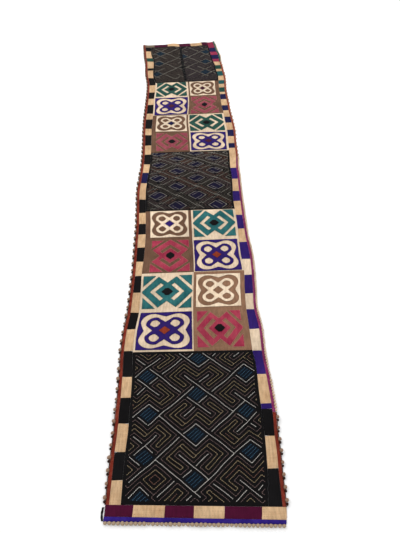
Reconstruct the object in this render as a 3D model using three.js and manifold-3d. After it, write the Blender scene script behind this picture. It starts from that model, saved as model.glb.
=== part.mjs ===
// Long embroidered raffia strip with appliqued blocks, laid out flat with its near hem towards -Y.
// Millimetres, +Z up. The underside lies on z = 0 and the middle of the outline is the origin.

import * as THREE from 'three';
import { mergeVertices } from 'three/addons/utils/BufferGeometryUtils.js';
import Module from 'manifold-3d';

const wasm = await Module();
wasm.setup();

// Thicknesses of the cloths
const PANEL_THICKNESS = 2.0;
const GROUND_THICKNESS = 1.6;
const BORDER_THICKNESS = 1.8;
const APPLIQUE_THICKNESS = 1.0;
const LAYER_GAP = 0.3;
const SEAM_GAP = 0.4;

// Bindings along the edges and the bobbles sewn outside them
const BINDING_WIDTH = 12;
const BINDING_EDGE_HEIGHT = 1.8;
const BINDING_CROWN_HEIGHT = 2.8;
const CORD_WIDTH = 2.5;
const CORD_HEIGHT = 2.4;

// Dark tail of cloth at the near left corner
const TAIL_WIDTH = 7;
const TAIL_LENGTH = 38;
const TAIL_THICKNESS = 2.2;
const TAIL_SWAY = 2.5;
const TAIL_OVERHANG = 12;
const TAIL_CLEARANCE = 1.4;

// Cells of the sheets: cuts across each sheet, and cross lines in each interval of the row table
const PANEL_CUTS = 6;
const HALF_PANEL_CUTS = 5;
const GROUND_CUTS = 2;
const BORDER_CUTS = 2;
const HEM_CUTS = 16;
const LINES_PER_ROW = 2;

// Middle of the outline in the sizes of the row table below
const CENTRE_X = -4.811;
const CENTRE_Y = 1745.994;

// Cross lines of the cloth, a row for each, from the near end to the far end.
// yLeft and yRight: where the line meets the left and the right seam.
// edgeLeft to edgeRight: where it crosses the long lines of the cloth.
// liftLeft and liftRight: height of the outer edge off the floor.
const ROW_COLUMNS = [
  'name', 'yLeft', 'yRight', 'edgeLeft', 'seamLeft', 'middle', 'seamRight', 'edgeRight',
  'liftLeft', 'liftRight',
];
const ROW_TABLE = [
  ['nearEdge', 126, 100, -302, -250, -3, 240, 276, 0, 0],
  ['nearHem', 140, 113, -301, -250, -3, 240, 280, 0, 0],
  ['nearPanel', 173, 149, -300, -250, -3, 228, 285, 0, 1],
  ['', 250, 235, -298, -249, -2, 238, 288, 2, 0],
  ['', 330, 312, -296, -247, -1, 243, 292, 0, 2],
  ['', 400, 380, -292, -242, -1, 246, 293, 1, 1],
  ['magentaStart', 463, 448, -291, -241, 0, 246, 297, 5, 4],
  ['', 530, 520, -290, -240, 1, 245, 297, 1, 1],
  ['', 600, 592, -290, -240, 2, 247, 294, 0, 2],
  ['', 655, 647, -291, -242, 3, 246, 291, 2, 0],
  ['nearBlock1', 706, 697, -292, -244, 3, 240, 290, 0, 0],
  ['', 800, 798, -287, -240, 4, 239, 292, 1, 2],
  ['nearBlock2', 896, 896, -276, -228, 6, 237, 283, 3, 0],
  ['', 996, 995, -272, -226, 10, 241, 290, 0, 1],
  ['nearBlock3', 1097, 1099, -268, -226, 15, 249, 296, 0, 2],
  ['', 1200, 1202, -267, -220, 16, 243, 298, 2, 0],
  ['nearBlock4', 1302, 1306, -267, -218, 14, 244, 291, 0, 0],
  ['', 1402, 1404, -267, -220, 13, 245, 290, 1, 2],
  ['middlePanel', 1500, 1502, -271, -225, 12, 243, 290, 0, 1],
  ['', 1580, 1582, -274, -228, 13, 241, 291, 3, 0],
  ['', 1665, 1665, -276, -230, 14, 246, 292, 1, 1],
  ['', 1765, 1765, -269, -224, 15, 250, 295, 5, 2],
  ['', 1840, 1842, -265, -218, 17, 248, 295, 1, 0],
  ['orangeStart', 1912, 1925, -263, -214, 18, 252, 302, 0, 4],
  ['farBlock1', 1990, 1996, -262, -213, 20, 254, 304, 2, 1],
  ['', 2092, 2094, -265, -215, 19, 256, 306, 0, 0],
  ['farBlock2', 2194, 2190, -268, -217, 18, 259, 310, 1, 2],
  ['', 2285, 2290, -270, -216, 15, 254, 307, 3, 0],
  ['farBlock3', 2376, 2390, -268, -214, 17, 250, 300, 0, 1],
  ['', 2482, 2498, -265, -213, 25, 244, 297, 1, 0],
  ['farBlock4', 2590, 2605, -262, -213, 27, 243, 293, 0, 2],
  ['', 2688, 2705, -261, -207, 25, 242, 293, 2, 1],
  ['farPanel', 2785, 2805, -264, -209, 22, 245, 298, 1, 0],
  ['', 2865, 2880, -275, -226, 4, 246, 297, 4, 1],
  ['', 2945, 2960, -282, -230, -3, 237, 291, 1, 3],
  ['', 3015, 3025, -286, -229, -6, 234, 288, 0, 1],
  ['tealStart', 3080, 3085, -290, -230, -11, 224, 282, 3, 0],
  ['', 3145, 3140, -298, -239, -15, 218, 282, 1, 3],
  ['', 3205, 3198, -304, -252, -20, 210, 279, 0, 1],
  ['', 3275, 3265, -309, -256, -22, 206, 266, 3, 4],
  ['farHem', 3332, 3345, -314, -259, -22, 198, 257, 2, 3],
  ['farEdge', 3370, 3400, -317, -260, -22, 195, 248, 6, 8],
];

// Seam between the halves of the far panel, from its near end to its far end
const FAR_SEAM = [8, 4, -3, -6, -11, -15, -20, -22, -22];

// Soft folds that cross the cloth: a ridge from one point to another with its half width and height
const FOLD_COLUMNS = ['fromX', 'fromY', 'toX', 'toY', 'halfWidth', 'height'];
const FOLD_TABLE = [
  [-300, 470, 300, 410, 45, 3.5],
  [-290, 1770, -80, 1752, 45, 3.0],
  [-12, 2900, -22, 3300, 42, 2.5],
  [-96, 3330, -82, 3400, 60, 6.0],
  [148, 3340, 160, 3400, 60, 5.0],
];

// Cloths under the blocks: two blocks tall, one column wide
const GROUND_COLUMNS = ['name', 'side', 'near', 'far', 'colour'];
const GROUND_TABLE = [
  ['ground_near_left_1', 'left', 'nearBlock1', 'nearBlock3', 'beige'],
  ['ground_near_left_2', 'left', 'nearBlock3', 'middlePanel', 'brown'],
  ['ground_near_right_1', 'right', 'nearBlock1', 'nearBlock3', 'brown'],
  ['ground_near_right_2', 'right', 'nearBlock3', 'middlePanel', 'beige'],
  ['ground_far_left_1', 'left', 'farBlock1', 'farBlock3', 'brown'],
  ['ground_far_left_2', 'left', 'farBlock3', 'farPanel', 'beige'],
  ['ground_far_right_1', 'right', 'farBlock1', 'farBlock3', 'beige'],
  ['ground_far_right_2', 'right', 'farBlock3', 'farPanel', 'brown'],
];

// Blocks, counted from the near end of each group, with the margins of ground left round the motif
const BLOCK_COLUMNS = [
  'name', 'side', 'near', 'far', 'motif', 'left', 'right', 'front', 'back', 'turned',
];
const BLOCK_TABLE = [
  ['near_left_1', 'left', 'nearBlock1', 'nearBlock2', 'blueKnot', 9, 6, 10, 9, false],
  ['near_left_2', 'left', 'nearBlock2', 'nearBlock3', 'greenStar', 7, 5, 8, 14, false],
  ['near_left_3', 'left', 'nearBlock3', 'nearBlock4', 'pinkStar', 31, 16, 3, 6, true],
  ['near_left_4', 'left', 'nearBlock4', 'middlePanel', 'beigeKnot', 24, 15, 12, 3, false],
  ['near_right_1', 'right', 'nearBlock1', 'nearBlock2', 'pinkStar', 13, 26, 15, 8, false],
  ['near_right_2', 'right', 'nearBlock2', 'nearBlock3', 'beigeKnot', 12, 20, 11, 16, false],
  ['near_right_3', 'right', 'nearBlock3', 'nearBlock4', 'blueKnot', 6, 9, 3, 14, false],
  ['near_right_4', 'right', 'nearBlock4', 'middlePanel', 'greenStar', 7, 9, 5, 3, false],
  ['far_left_1', 'left', 'farBlock1', 'farBlock2', 'pinkStar', 27, 9, 12, 12, false],
  ['far_left_2', 'left', 'farBlock2', 'farBlock3', 'beigeKnot', 25, 11, 4, 8, false],
  ['far_left_3', 'left', 'farBlock3', 'farBlock4', 'blueKnot', 10, 8, 3, 8, false],
  ['far_left_4', 'left', 'farBlock4', 'farPanel', 'greenStar', 8, 11, 8, 3, false],
  ['far_right_1', 'right', 'farBlock1', 'farBlock2', 'blueKnot', 9, 13, 8, 10, false],
  ['far_right_2', 'right', 'farBlock2', 'farBlock3', 'greenStar', 6, 9, 4, 8, false],
  ['far_right_3', 'right', 'farBlock3', 'farBlock4', 'pinkStar', 14, 24, 4, 5, true],
  ['far_right_4', 'right', 'farBlock4', 'farPanel', 'beigeKnot', 10, 27, 8, 6, false],
];

// How far the lift of an edge goes on rising outside it, in widths of the border
const LIFT_REACH = 1.2;

// How much longer a bobble is along the edge than across it
const BOBBLE_STRETCH = 1.15;

// Rows of bobbles: reach is how far their middles stand outside the edge that carries them
const BOBBLE_ROWS = {
  leftNear: { count: 23, radius: 5.8, reach: 1.4 },
  leftMiddle: { count: 42, radius: 5.8, reach: 1.4 },
  leftFar: { count: 15, radius: 5.8, reach: 1.4 },
  near: { count: 31, radius: 6.0, reach: 1.4 },
  rightRed: { count: 8, radius: 5.4, reach: 1.2 },
  rightMagenta: { count: 66, radius: 4.0, reach: 0.8 },
  rightOrange: { count: 29, radius: 4.8, reach: 1.0 },
  rightTeal: { count: 15, radius: 4.8, reach: 1.0 },
};

// Motifs, in shares of a block's width and depth
const KNOT_FRAME = { lobe: 0.235, radius: 0.225, notch: 0.385, sweep: 118 };
const KNOT_LOOPS = { lobe: 0.185, radius: 0.17, notch: 0.225, sweep: 118 };
const KNOT_HOLE_RADIUS = 0.092;
const KNOT_HOLE_PLACE = 0.19;
const KNOT_HEART = 0.1;
const STAR_POINTS = [[0.5, 0.02], [0.18, 0.455], [0, 0.27]];
const STAR_CHEVRON = [[0.345, 0], [0.14, 0.265], [0.075, 0.2], [0.24, 0]];
const STAR_EYE = { width: 0.23, depth: 0.2, blunt: 0.3 };
const LOBE_STEPS = 5;
const HOLE_STEPS = 7;

// Colours and finishes
const COLOURS = {
  black: 0x17151a,
  beige: 0xdcc096,
  brown: 0x6e5240,
  blue: 0x2a1a73,
  green: 0x1d5a5e,
  pink: 0xa8324f,
  border: 0xcdb083,
  hem: 0x55132f,
  redOrange: 0x9c3a22,
  magenta: 0x97306f,
  teal: 0x2c5f4f,
  raffia: 0xcfae88,
};
const ROUGHNESS = 0.92;

const rows = ROW_TABLE.map((values) => toRecord(ROW_COLUMNS, values));
const folds = FOLD_TABLE.map((values) => toRecord(FOLD_COLUMNS, values));
const rowIndex = Object.fromEntries(rows.map((row, index) => [row.name, index]));
const lastRow = rows.length - 1;
const lanes = makeLanes();

function toRecord(columns, values) {
  return Object.fromEntries(columns.map((column, index) => [column, values[index]]));
}

// Long lines of the cloth

function crossLineY(row, x) {
  const share = (x - row.seamLeft) / (row.seamRight - row.seamLeft);
  return THREE.MathUtils.lerp(row.yLeft, row.yRight, share);
}

function makeLane(rowList, xOf) {
  const points = rowList.map((row, index) => {
    const x = xOf(row, index);
    return new THREE.Vector2(x, crossLineY(row, x));
  });
  return new THREE.SplineCurve(points);
}

function makeLanes() {
  const named = ['edgeLeft', 'seamLeft', 'middle', 'seamRight', 'edgeRight'];
  const made = Object.fromEntries(named.map((name) => [name, makeLane(rows, (row) => row[name])]));
  const farRows = rows.slice(rowIndex.farPanel);
  made.farSeam = makeLane(farRows, (row, index) => FAR_SEAM[Math.min(index, FAR_SEAM.length - 1)]);
  return made;
}

function lanePoint(name, v) {
  if (name === 'farSeam') {
    const first = rowIndex.farPanel;
    return lanes.farSeam.getPoint((v - first) / (lastRow - first));
  }
  return lanes[name].getPoint(v / lastRow);
}

function acrossPoint(from, to, v, share, fromInset, toInset) {
  const start = lanePoint(from, v);
  const end = lanePoint(to, v);
  const along = end.clone().sub(start).normalize();
  start.addScaledVector(along, fromInset);
  end.addScaledVector(along, -toInset);
  return start.lerp(end, share);
}

// Height of the floor side of the cloth

function foldHeight(x, y) {
  const place = new THREE.Vector3(x, y, 0);
  let height = 0;
  for (const fold of folds) {
    const start = new THREE.Vector3(fold.fromX, fold.fromY, 0);
    const end = new THREE.Vector3(fold.toX, fold.toY, 0);
    const nearest = new THREE.Line3(start, end).closestPointToPoint(place, true, new THREE.Vector3());
    const away = nearest.distanceTo(place) / fold.halfWidth;
    if (away < 1) {
      height += fold.height * Math.cos((away * Math.PI) / 2) ** 2;
    }
  }
  return height;
}

function edgeLift(v, x) {
  const below = Math.min(Math.floor(v), lastRow - 1);
  const share = v - below;
  const side = x < 0 ? 'Left' : 'Right';
  const seam = lanePoint(`seam${side}`, v).x;
  const edge = lanePoint(`edge${side}`, v).x;
  const lift = THREE.MathUtils.lerp(rows[below][`lift${side}`], rows[below + 1][`lift${side}`], share);
  const outward = THREE.MathUtils.clamp((x - seam) / (edge - seam), 0, LIFT_REACH);
  return lift * outward ** 2;
}

function floorSide(v, x, y) {
  return foldHeight(x, y) + edgeLift(v, x);
}

// Sheets

function mapVertices(geometry, place) {
  const position = geometry.attributes.position;
  const vertex = new THREE.Vector3();
  for (let index = 0; index < position.count; index += 1) {
    vertex.fromBufferAttribute(position, index);
    place(vertex);
    position.setXYZ(index, vertex.x - CENTRE_X, vertex.y - CENTRE_Y, vertex.z);
  }
  return geometry;
}

// The near and far ends of a strip stand back from the seam line
function endGap(along) {
  if (along === 0) {
    return SEAM_GAP / 2;
  }
  return along === 1 ? -SEAM_GAP / 2 : 0;
}

// A closed strip between two cross lines: pointAt(across, v) places it on the cloth, and
// profile(across, top) gives the height of its two sides over the floor side.
function laidStrip(near, far, cuts, profile, pointAt) {
  const steps = Math.round((far - near) * LINES_PER_ROW);
  const geometry = new THREE.BoxGeometry(1, 1, 1, cuts, steps, 1);
  return mapVertices(geometry, (vertex) => {
    const across = vertex.x + 0.5;
    const along = vertex.y + 0.5;
    const v = THREE.MathUtils.lerp(near, far, along);
    const point = pointAt(across, v);
    const y = point.y + endGap(along);
    vertex.set(point.x, y, floorSide(v, point.x, y) + profile(across, vertex.z > 0));
  });
}

// A band between two long lines and two cross lines
function band({ from, to, near, far, cuts, profile, fromInset = 0, toInset = 0 }) {
  return laidStrip(near, far, cuts, profile, (across, v) =>
    acrossPoint(from, to, v, across, fromInset, toInset));
}

function flatProfile(thickness) {
  return (share, top) => (top ? thickness : 0);
}

function crownProfile(share, top) {
  if (!top) {
    return 0;
  }
  return share === 0.5 ? BINDING_CROWN_HEIGHT : BINDING_EDGE_HEIGHT;
}

function columnLines(side) {
  return side === 'left' ? ['seamLeft', 'middle'] : ['middle', 'seamRight'];
}

function makePanel(from, to, near, far, cuts) {
  return band({
    from,
    to,
    near: rowIndex[near],
    far: rowIndex[far],
    cuts,
    profile: flatProfile(PANEL_THICKNESS),
    fromInset: SEAM_GAP / 2,
    toInset: SEAM_GAP / 2,
  });
}

function makeGround(ground) {
  const [from, to] = columnLines(ground.side);
  return band({
    from,
    to,
    near: rowIndex[ground.near],
    far: rowIndex[ground.far],
    cuts: GROUND_CUTS,
    profile: flatProfile(GROUND_THICKNESS),
    fromInset: SEAM_GAP / 2,
    toInset: SEAM_GAP / 2,
  });
}

function makeBorder(side) {
  const left = side === 'left';
  const outerInset = BINDING_WIDTH + SEAM_GAP;
  return band({
    from: left ? 'edgeLeft' : 'seamRight',
    to: left ? 'seamLeft' : 'edgeRight',
    near: rowIndex.nearPanel,
    far: rowIndex.farHem,
    cuts: BORDER_CUTS,
    profile: flatProfile(BORDER_THICKNESS),
    fromInset: left ? outerInset : SEAM_GAP / 2,
    toInset: left ? SEAM_GAP / 2 : outerInset,
  });
}

function makeHem(near, far, endInset) {
  return band({
    from: 'edgeLeft',
    to: 'edgeRight',
    near: rowIndex[near],
    far: rowIndex[far],
    cuts: HEM_CUTS,
    profile: flatProfile(BORDER_THICKNESS),
    fromInset: endInset,
    toInset: endInset,
  });
}

// A strip that follows a long edge, from inner to outer millimetres outside the edge line
function edgeStrip(edge, near, far, inner, outer, cuts, profile) {
  const left = edge === 'edgeLeft';
  const seam = left ? 'seamLeft' : 'seamRight';
  return laidStrip(near, far, cuts, profile, (across, v) => {
    const outward = left ? 1 - across : across;
    const start = lanePoint(seam, v);
    const end = lanePoint(edge, v);
    const beyond = THREE.MathUtils.lerp(inner, outer, outward) / start.distanceTo(end);
    return start.lerp(end, 1 + beyond);
  });
}

function makeSideBinding(edge, near, far) {
  return edgeStrip(edge, rowIndex[near], rowIndex[far], -BINDING_WIDTH, 0, 2, crownProfile);
}

function makeNearBinding() {
  return band({
    from: 'edgeLeft',
    to: 'edgeRight',
    near: rowIndex.nearEdge,
    far: rowIndex.nearHem,
    cuts: HEM_CUTS,
    profile: flatProfile(BINDING_CROWN_HEIGHT),
    fromInset: 0,
    toInset: 0,
  });
}

// Solids joined from several closed meshes

function toManifold(geometry) {
  const bare = geometry.clone();
  bare.deleteAttribute('normal');
  bare.deleteAttribute('uv');
  const merged = mergeVertices(bare, 1e-4);
  const vertProperties = new Float32Array(merged.attributes.position.array);
  const triVerts = new Uint32Array(merged.index.array);
  return new wasm.Manifold(new wasm.Mesh({ numProp: 3, vertProperties, triVerts }));
}

function joinAll(geometries) {
  const joined = geometries.map(toManifold).reduce((whole, piece) => whole.add(piece));
  const mesh = joined.getMesh();
  const geometry = new THREE.BufferGeometry();
  geometry.setAttribute('position', new THREE.BufferAttribute(new Float32Array(mesh.vertProperties), 3));
  geometry.setIndex(new THREE.BufferAttribute(new Uint32Array(mesh.triVerts), 1));
  return geometry;
}

// Bobbles: four-sided knobs lying on the floor, with an edge of the square belly down
function bobble(radius, x, y, z, heading) {
  const geometry = new THREE.OctahedronGeometry(radius);
  geometry.rotateX(Math.PI / 4);
  geometry.scale(1, BOBBLE_STRETCH, 1);
  geometry.rotateZ(heading);
  geometry.translate(x - CENTRE_X, y - CENTRE_Y, z);
  return geometry;
}

function bobblesAlong(path, size) {
  const curve = new THREE.CatmullRomCurve3(path);
  const belly = size.radius * Math.SQRT1_2;
  const made = [];
  for (let index = 0; index < size.count; index += 1) {
    const share = (index + 0.5) / size.count;
    const middle = curve.getPointAt(share);
    const tangent = curve.getTangentAt(share);
    const heading = Math.atan2(tangent.y, tangent.x) + Math.PI / 2;
    made.push(bobble(size.radius, middle.x, middle.y, Math.max(middle.z, 0) + belly, heading));
  }
  return made;
}

function edgePath(edge, near, far, outside) {
  const seam = edge === 'edgeLeft' ? 'seamLeft' : 'seamRight';
  const steps = Math.round((far - near) * LINES_PER_ROW);
  const path = [];
  for (let step = 0; step <= steps; step += 1) {
    const v = THREE.MathUtils.lerp(near, far, step / steps);
    const outer = lanePoint(edge, v);
    const outward = outer.clone().sub(lanePoint(seam, v)).normalize();
    const height = floorSide(v, outer.x, outer.y);
    outer.addScaledVector(outward, outside);
    path.push(new THREE.Vector3(outer.x, outer.y, height));
  }
  return path;
}

// Bobbles on a cord of their own, sewn outside the binding
function makeSideBobbles(edge, near, far, size) {
  const inner = LAYER_GAP;
  const outer = LAYER_GAP + CORD_WIDTH;
  const first = rowIndex[near];
  const last = rowIndex[far];
  const cord = edgeStrip(edge, first, last, inner, outer, 1, flatProfile(CORD_HEIGHT));
  const path = edgePath(edge, first, last, outer + size.reach);
  return joinAll([cord, ...bobblesAlong(path, size)]);
}

// Bobbles worked straight onto a binding
function makeBobbledBinding(edge, near, far, size) {
  const binding = makeSideBinding(edge, near, far);
  const path = edgePath(edge, rowIndex[near], rowIndex[far], size.reach);
  return joinAll([binding, ...bobblesAlong(path, size)]);
}

function nearEdgePath(outside) {
  const path = [];
  for (let step = 0; step <= HEM_CUTS; step += 1) {
    const point = acrossPoint('edgeLeft', 'edgeRight', rowIndex.nearEdge, step / HEM_CUTS, 0, 0);
    path.push(new THREE.Vector3(point.x, point.y - outside, 0));
  }
  return path;
}

function makeNearBobbles(size) {
  const inner = nearEdgePath(0);
  const geometry = new THREE.BoxGeometry(1, 1, 1, HEM_CUTS, 1, 1);
  const cord = mapVertices(geometry, (vertex) => {
    const point = inner[Math.round((vertex.x + 0.5) * HEM_CUTS)];
    const outside = vertex.y > 0 ? 0 : CORD_WIDTH;
    vertex.set(point.x, point.y - outside, vertex.z > 0 ? CORD_HEIGHT : 0);
  });
  const path = nearEdgePath(CORD_WIDTH + size.reach);
  return joinAll([cord, ...bobblesAlong(path, size)]);
}

// Motifs

// Four round lobes with a pointed notch between each two, from the notch on the right round to it again
function lobedPoints({ lobe, radius, notch, sweep }) {
  const points = [];
  for (let quarter = 0; quarter < 4; quarter += 1) {
    const turn = (quarter * Math.PI) / 2;
    points.push(turned(notch, 0, turn));
    for (let step = 0; step <= LOBE_STEPS; step += 1) {
      const degrees = 45 + sweep * (step / LOBE_STEPS - 0.5);
      const angle = THREE.MathUtils.degToRad(degrees);
      points.push(turned(lobe + radius * Math.cos(angle), lobe + radius * Math.sin(angle), turn));
    }
  }
  return points;
}

function turned(x, y, turn) {
  return new THREE.Vector2(x, y).rotateAround(new THREE.Vector2(), turn).addScalar(0.5);
}

function ringPoints(x, y, radius, steps) {
  const points = [];
  for (let step = 0; step < steps; step += 1) {
    const angle = (step / steps) * Math.PI * 2;
    points.push(new THREE.Vector2(x + radius * Math.cos(angle), y + radius * Math.sin(angle)));
  }
  return points;
}

function knotFrame() {
  const shape = new THREE.Shape([
    new THREE.Vector2(0, 0),
    new THREE.Vector2(1, 0),
    new THREE.Vector2(1, 1),
    new THREE.Vector2(0, 1),
  ]);
  shape.holes.push(new THREE.Path(lobedPoints(KNOT_FRAME)));
  return shape;
}

function knotLoops(open) {
  const shape = new THREE.Shape(lobedPoints(KNOT_LOOPS));
  for (const [sideways, back] of [[-1, -1], [1, -1], [1, 1], [-1, 1]]) {
    const x = 0.5 + sideways * KNOT_HOLE_PLACE;
    const y = 0.5 + back * KNOT_HOLE_PLACE;
    shape.holes.push(new THREE.Path(ringPoints(x, y, KNOT_HOLE_RADIUS, HOLE_STEPS)));
  }
  if (open) {
    shape.holes.push(new THREE.Path(ringPoints(0.5, 0.5, KNOT_HEART, 4)));
  }
  return shape;
}

// A six-pointed star, dented at the front and back, with two open chevrons cut out of it
function starBody() {
  const shape = new THREE.Shape(mirrorOutline(STAR_POINTS));
  for (const side of [-1, 1]) {
    const upper = STAR_CHEVRON.map(([x, y]) => new THREE.Vector2(0.5 + side * x, 0.5 + y));
    const lower = STAR_CHEVRON.slice(1, 3).map(([x, y]) => new THREE.Vector2(0.5 + side * x, 0.5 - y));
    shape.holes.push(new THREE.Path([...upper, ...lower.reverse()]));
  }
  return shape;
}

// Mirrors the points of a quarter into all four quarters, in order round the outline
function mirrorOutline(quarter) {
  const backRight = quarter.map(([x, y]) => [x, y]);
  const backLeft = quarter.filter(([x]) => x > 0).map(([x, y]) => [-x, y]).reverse();
  const frontLeft = backLeft.map(([x, y]) => [x, -y]).reverse();
  const frontRight = backRight.map(([x, y]) => [x, -y]).reverse();
  const all = [...backRight, ...backLeft, ...frontLeft, ...frontRight];
  return all.map(([x, y]) => new THREE.Vector2(0.5 + x, 0.5 + y));
}

function starEye() {
  const halfWidth = STAR_EYE.width / 2;
  const halfDepth = STAR_EYE.depth / 2;
  const bluntHalf = halfWidth * STAR_EYE.blunt;
  return new THREE.Shape([
    new THREE.Vector2(0.5 + halfWidth, 0.5),
    new THREE.Vector2(0.5 + bluntHalf, 0.5 + halfDepth),
    new THREE.Vector2(0.5 - bluntHalf, 0.5 + halfDepth),
    new THREE.Vector2(0.5 - halfWidth, 0.5),
    new THREE.Vector2(0.5 - bluntHalf, 0.5 - halfDepth),
    new THREE.Vector2(0.5 + bluntHalf, 0.5 - halfDepth),
  ]);
}

// Lays a motif shape on its block, with its underside base millimetres over the floor
function applique(shape, block, base) {
  const [from, to] = columnLines(block.side);
  const near = rowIndex[block.near];
  const far = rowIndex[block.far];
  const depth = lanePoint(from, far).distanceTo(lanePoint(from, near));
  const geometry = new THREE.ExtrudeGeometry(shape, { depth: 1, bevelEnabled: false, curveSegments: 1 });
  return mapVertices(geometry, (vertex) => {
    const across = block.turned ? vertex.y : vertex.x;
    const along = block.turned ? 1 - vertex.x : vertex.y;
    const share = (block.front + along * (depth - block.front - block.back)) / depth;
    const v = THREE.MathUtils.lerp(near, far, share);
    const point = acrossPoint(from, to, v, across, block.left, block.right);
    vertex.set(point.x, point.y, base + vertex.z * APPLIQUE_THICKNESS);
  });
}

// Short dark tail of the hem binding at the near left corner
function makeTail() {
  const corner = lanePoint('edgeLeft', rowIndex.nearHem);
  const middle = corner.x - TAIL_WIDTH / 2 - TAIL_CLEARANCE;
  const geometry = new THREE.BoxGeometry(TAIL_WIDTH, TAIL_LENGTH, TAIL_THICKNESS, 1, 3, 1);
  return mapVertices(geometry, (vertex) => {
    const share = vertex.y / TAIL_LENGTH + 0.5;
    const x = middle + vertex.x - TAIL_SWAY * Math.sin(share * Math.PI);
    vertex.set(x, corner.y - TAIL_OVERHANG + share * TAIL_LENGTH, vertex.z + TAIL_THICKNESS / 2);
  });
}

// The assembled cloth

const cloth = new THREE.Group();

function addPiece(name, geometry, colour) {
  const material = new THREE.MeshStandardMaterial({ color: colour, roughness: ROUGHNESS, metalness: 0 });
  const mesh = new THREE.Mesh(geometry, material);
  mesh.name = name;
  cloth.add(mesh);
}

function addPanels() {
  const panels = [
    ['panel_near', 'seamLeft', 'seamRight', 'nearPanel', 'nearBlock1', PANEL_CUTS],
    ['panel_middle', 'seamLeft', 'seamRight', 'middlePanel', 'farBlock1', PANEL_CUTS],
    ['panel_far_left', 'seamLeft', 'farSeam', 'farPanel', 'farHem', HALF_PANEL_CUTS],
    ['panel_far_right', 'farSeam', 'seamRight', 'farPanel', 'farHem', HALF_PANEL_CUTS],
  ];
  for (const [name, from, to, near, far, cuts] of panels) {
    addPiece(name, makePanel(from, to, near, far, cuts), COLOURS.black);
  }
}

function addBorders() {
  addPiece('border_left', makeBorder('left'), COLOURS.border);
  addPiece('border_right', makeBorder('right'), COLOURS.border);
  addPiece('hem_near', makeHem('nearHem', 'nearPanel', 0), COLOURS.hem);
  addPiece('hem_far', makeHem('farHem', 'farEdge', BINDING_WIDTH + SEAM_GAP), COLOURS.hem);
}

function addBindings() {
  addPiece('binding_left', makeSideBinding('edgeLeft', 'nearPanel', 'farEdge'), COLOURS.redOrange);
  addPiece('binding_near', makeNearBinding(), COLOURS.blue);
  addPiece('binding_right_red', makeSideBinding('edgeRight', 'nearPanel', 'magentaStart'), COLOURS.redOrange);
  const bobbled = [
    ['binding_right_magenta', 'magentaStart', 'orangeStart', BOBBLE_ROWS.rightMagenta, COLOURS.magenta],
    ['binding_right_orange', 'orangeStart', 'tealStart', BOBBLE_ROWS.rightOrange, COLOURS.redOrange],
    ['binding_right_teal', 'tealStart', 'farEdge', BOBBLE_ROWS.rightTeal, COLOURS.teal],
  ];
  for (const [name, near, far, size, colour] of bobbled) {
    addPiece(name, makeBobbledBinding('edgeRight', near, far, size), colour);
  }
  addPiece('tail_near_left', makeTail(), COLOURS.black);
}

function addBobbles() {
  const lengths = [
    ['bobbles_left_near', 'edgeLeft', 'nearPanel', 'nearBlock3', BOBBLE_ROWS.leftNear],
    ['bobbles_left_middle', 'edgeLeft', 'nearBlock3', 'farPanel', BOBBLE_ROWS.leftMiddle],
    ['bobbles_left_far', 'edgeLeft', 'farPanel', 'farEdge', BOBBLE_ROWS.leftFar],
    ['bobbles_right', 'edgeRight', 'nearPanel', 'magentaStart', BOBBLE_ROWS.rightRed],
  ];
  for (const [name, edge, near, far, size] of lengths) {
    addPiece(name, makeSideBobbles(edge, near, far, size), COLOURS.raffia);
  }
  addPiece('bobbles_near', makeNearBobbles(BOBBLE_ROWS.near), COLOURS.raffia);
}

function addGrounds() {
  for (const values of GROUND_TABLE) {
    const ground = toRecord(GROUND_COLUMNS, values);
    addPiece(ground.name, makeGround(ground), COLOURS[ground.colour]);
  }
}

function addBlocks() {
  const first = GROUND_THICKNESS + LAYER_GAP;
  const second = first + APPLIQUE_THICKNESS + LAYER_GAP;
  for (const values of BLOCK_TABLE) {
    const block = toRecord(BLOCK_COLUMNS, values);
    if (block.motif.endsWith('Knot')) {
      const beige = block.motif === 'beigeKnot';
      const colour = beige ? COLOURS.beige : COLOURS.blue;
      addPiece(`frame_${block.name}`, applique(knotFrame(), block, first), colour);
      addPiece(`loops_${block.name}`, applique(knotLoops(beige), block, first), colour);
    } else {
      const colour = block.motif === 'greenStar' ? COLOURS.green : COLOURS.pink;
      addPiece(`star_${block.name}`, applique(starBody(), block, first), colour);
      addPiece(`eye_${block.name}`, applique(starEye(), block, second), COLOURS.black);
    }
  }
}

addPanels();
addBorders();
addBindings();
addBobbles();
addGrounds();
addBlocks();

export default cloth;
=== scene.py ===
# %% [markdown]
# # A long strip of raffia cloth, laid out flat
#
# The real object is a dress strip sewn from raffia cloth: three black embroidered panels, two
# groups of eight blocks with cut and sewn motifs, a border of small patches and a bound edge
# with little knotted bobbles. It lies flat on a floor, so nothing here has to move.
# The solids of the frame already hold every sewn piece at its real size. This script lays a
# finer cloth on each of them and adds what is too small for solids: thread, stitches, weave
# and the patch colours.

# %% Load the frame and keep its box
import math

import bpy
import numpy as np
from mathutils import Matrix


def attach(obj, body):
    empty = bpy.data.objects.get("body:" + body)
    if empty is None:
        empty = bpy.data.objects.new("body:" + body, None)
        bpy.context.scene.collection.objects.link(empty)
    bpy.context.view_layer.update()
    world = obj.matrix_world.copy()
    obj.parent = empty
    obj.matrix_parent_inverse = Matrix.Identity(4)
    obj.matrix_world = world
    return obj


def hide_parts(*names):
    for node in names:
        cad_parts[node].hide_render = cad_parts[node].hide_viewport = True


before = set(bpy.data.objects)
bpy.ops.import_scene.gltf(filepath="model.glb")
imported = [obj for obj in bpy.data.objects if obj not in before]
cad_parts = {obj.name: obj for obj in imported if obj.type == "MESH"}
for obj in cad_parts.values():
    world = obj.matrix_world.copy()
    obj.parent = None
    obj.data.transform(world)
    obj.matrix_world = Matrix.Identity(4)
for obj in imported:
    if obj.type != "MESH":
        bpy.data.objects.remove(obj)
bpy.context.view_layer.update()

bpy.ops.object.select_all(action="DESELECT")

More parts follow.
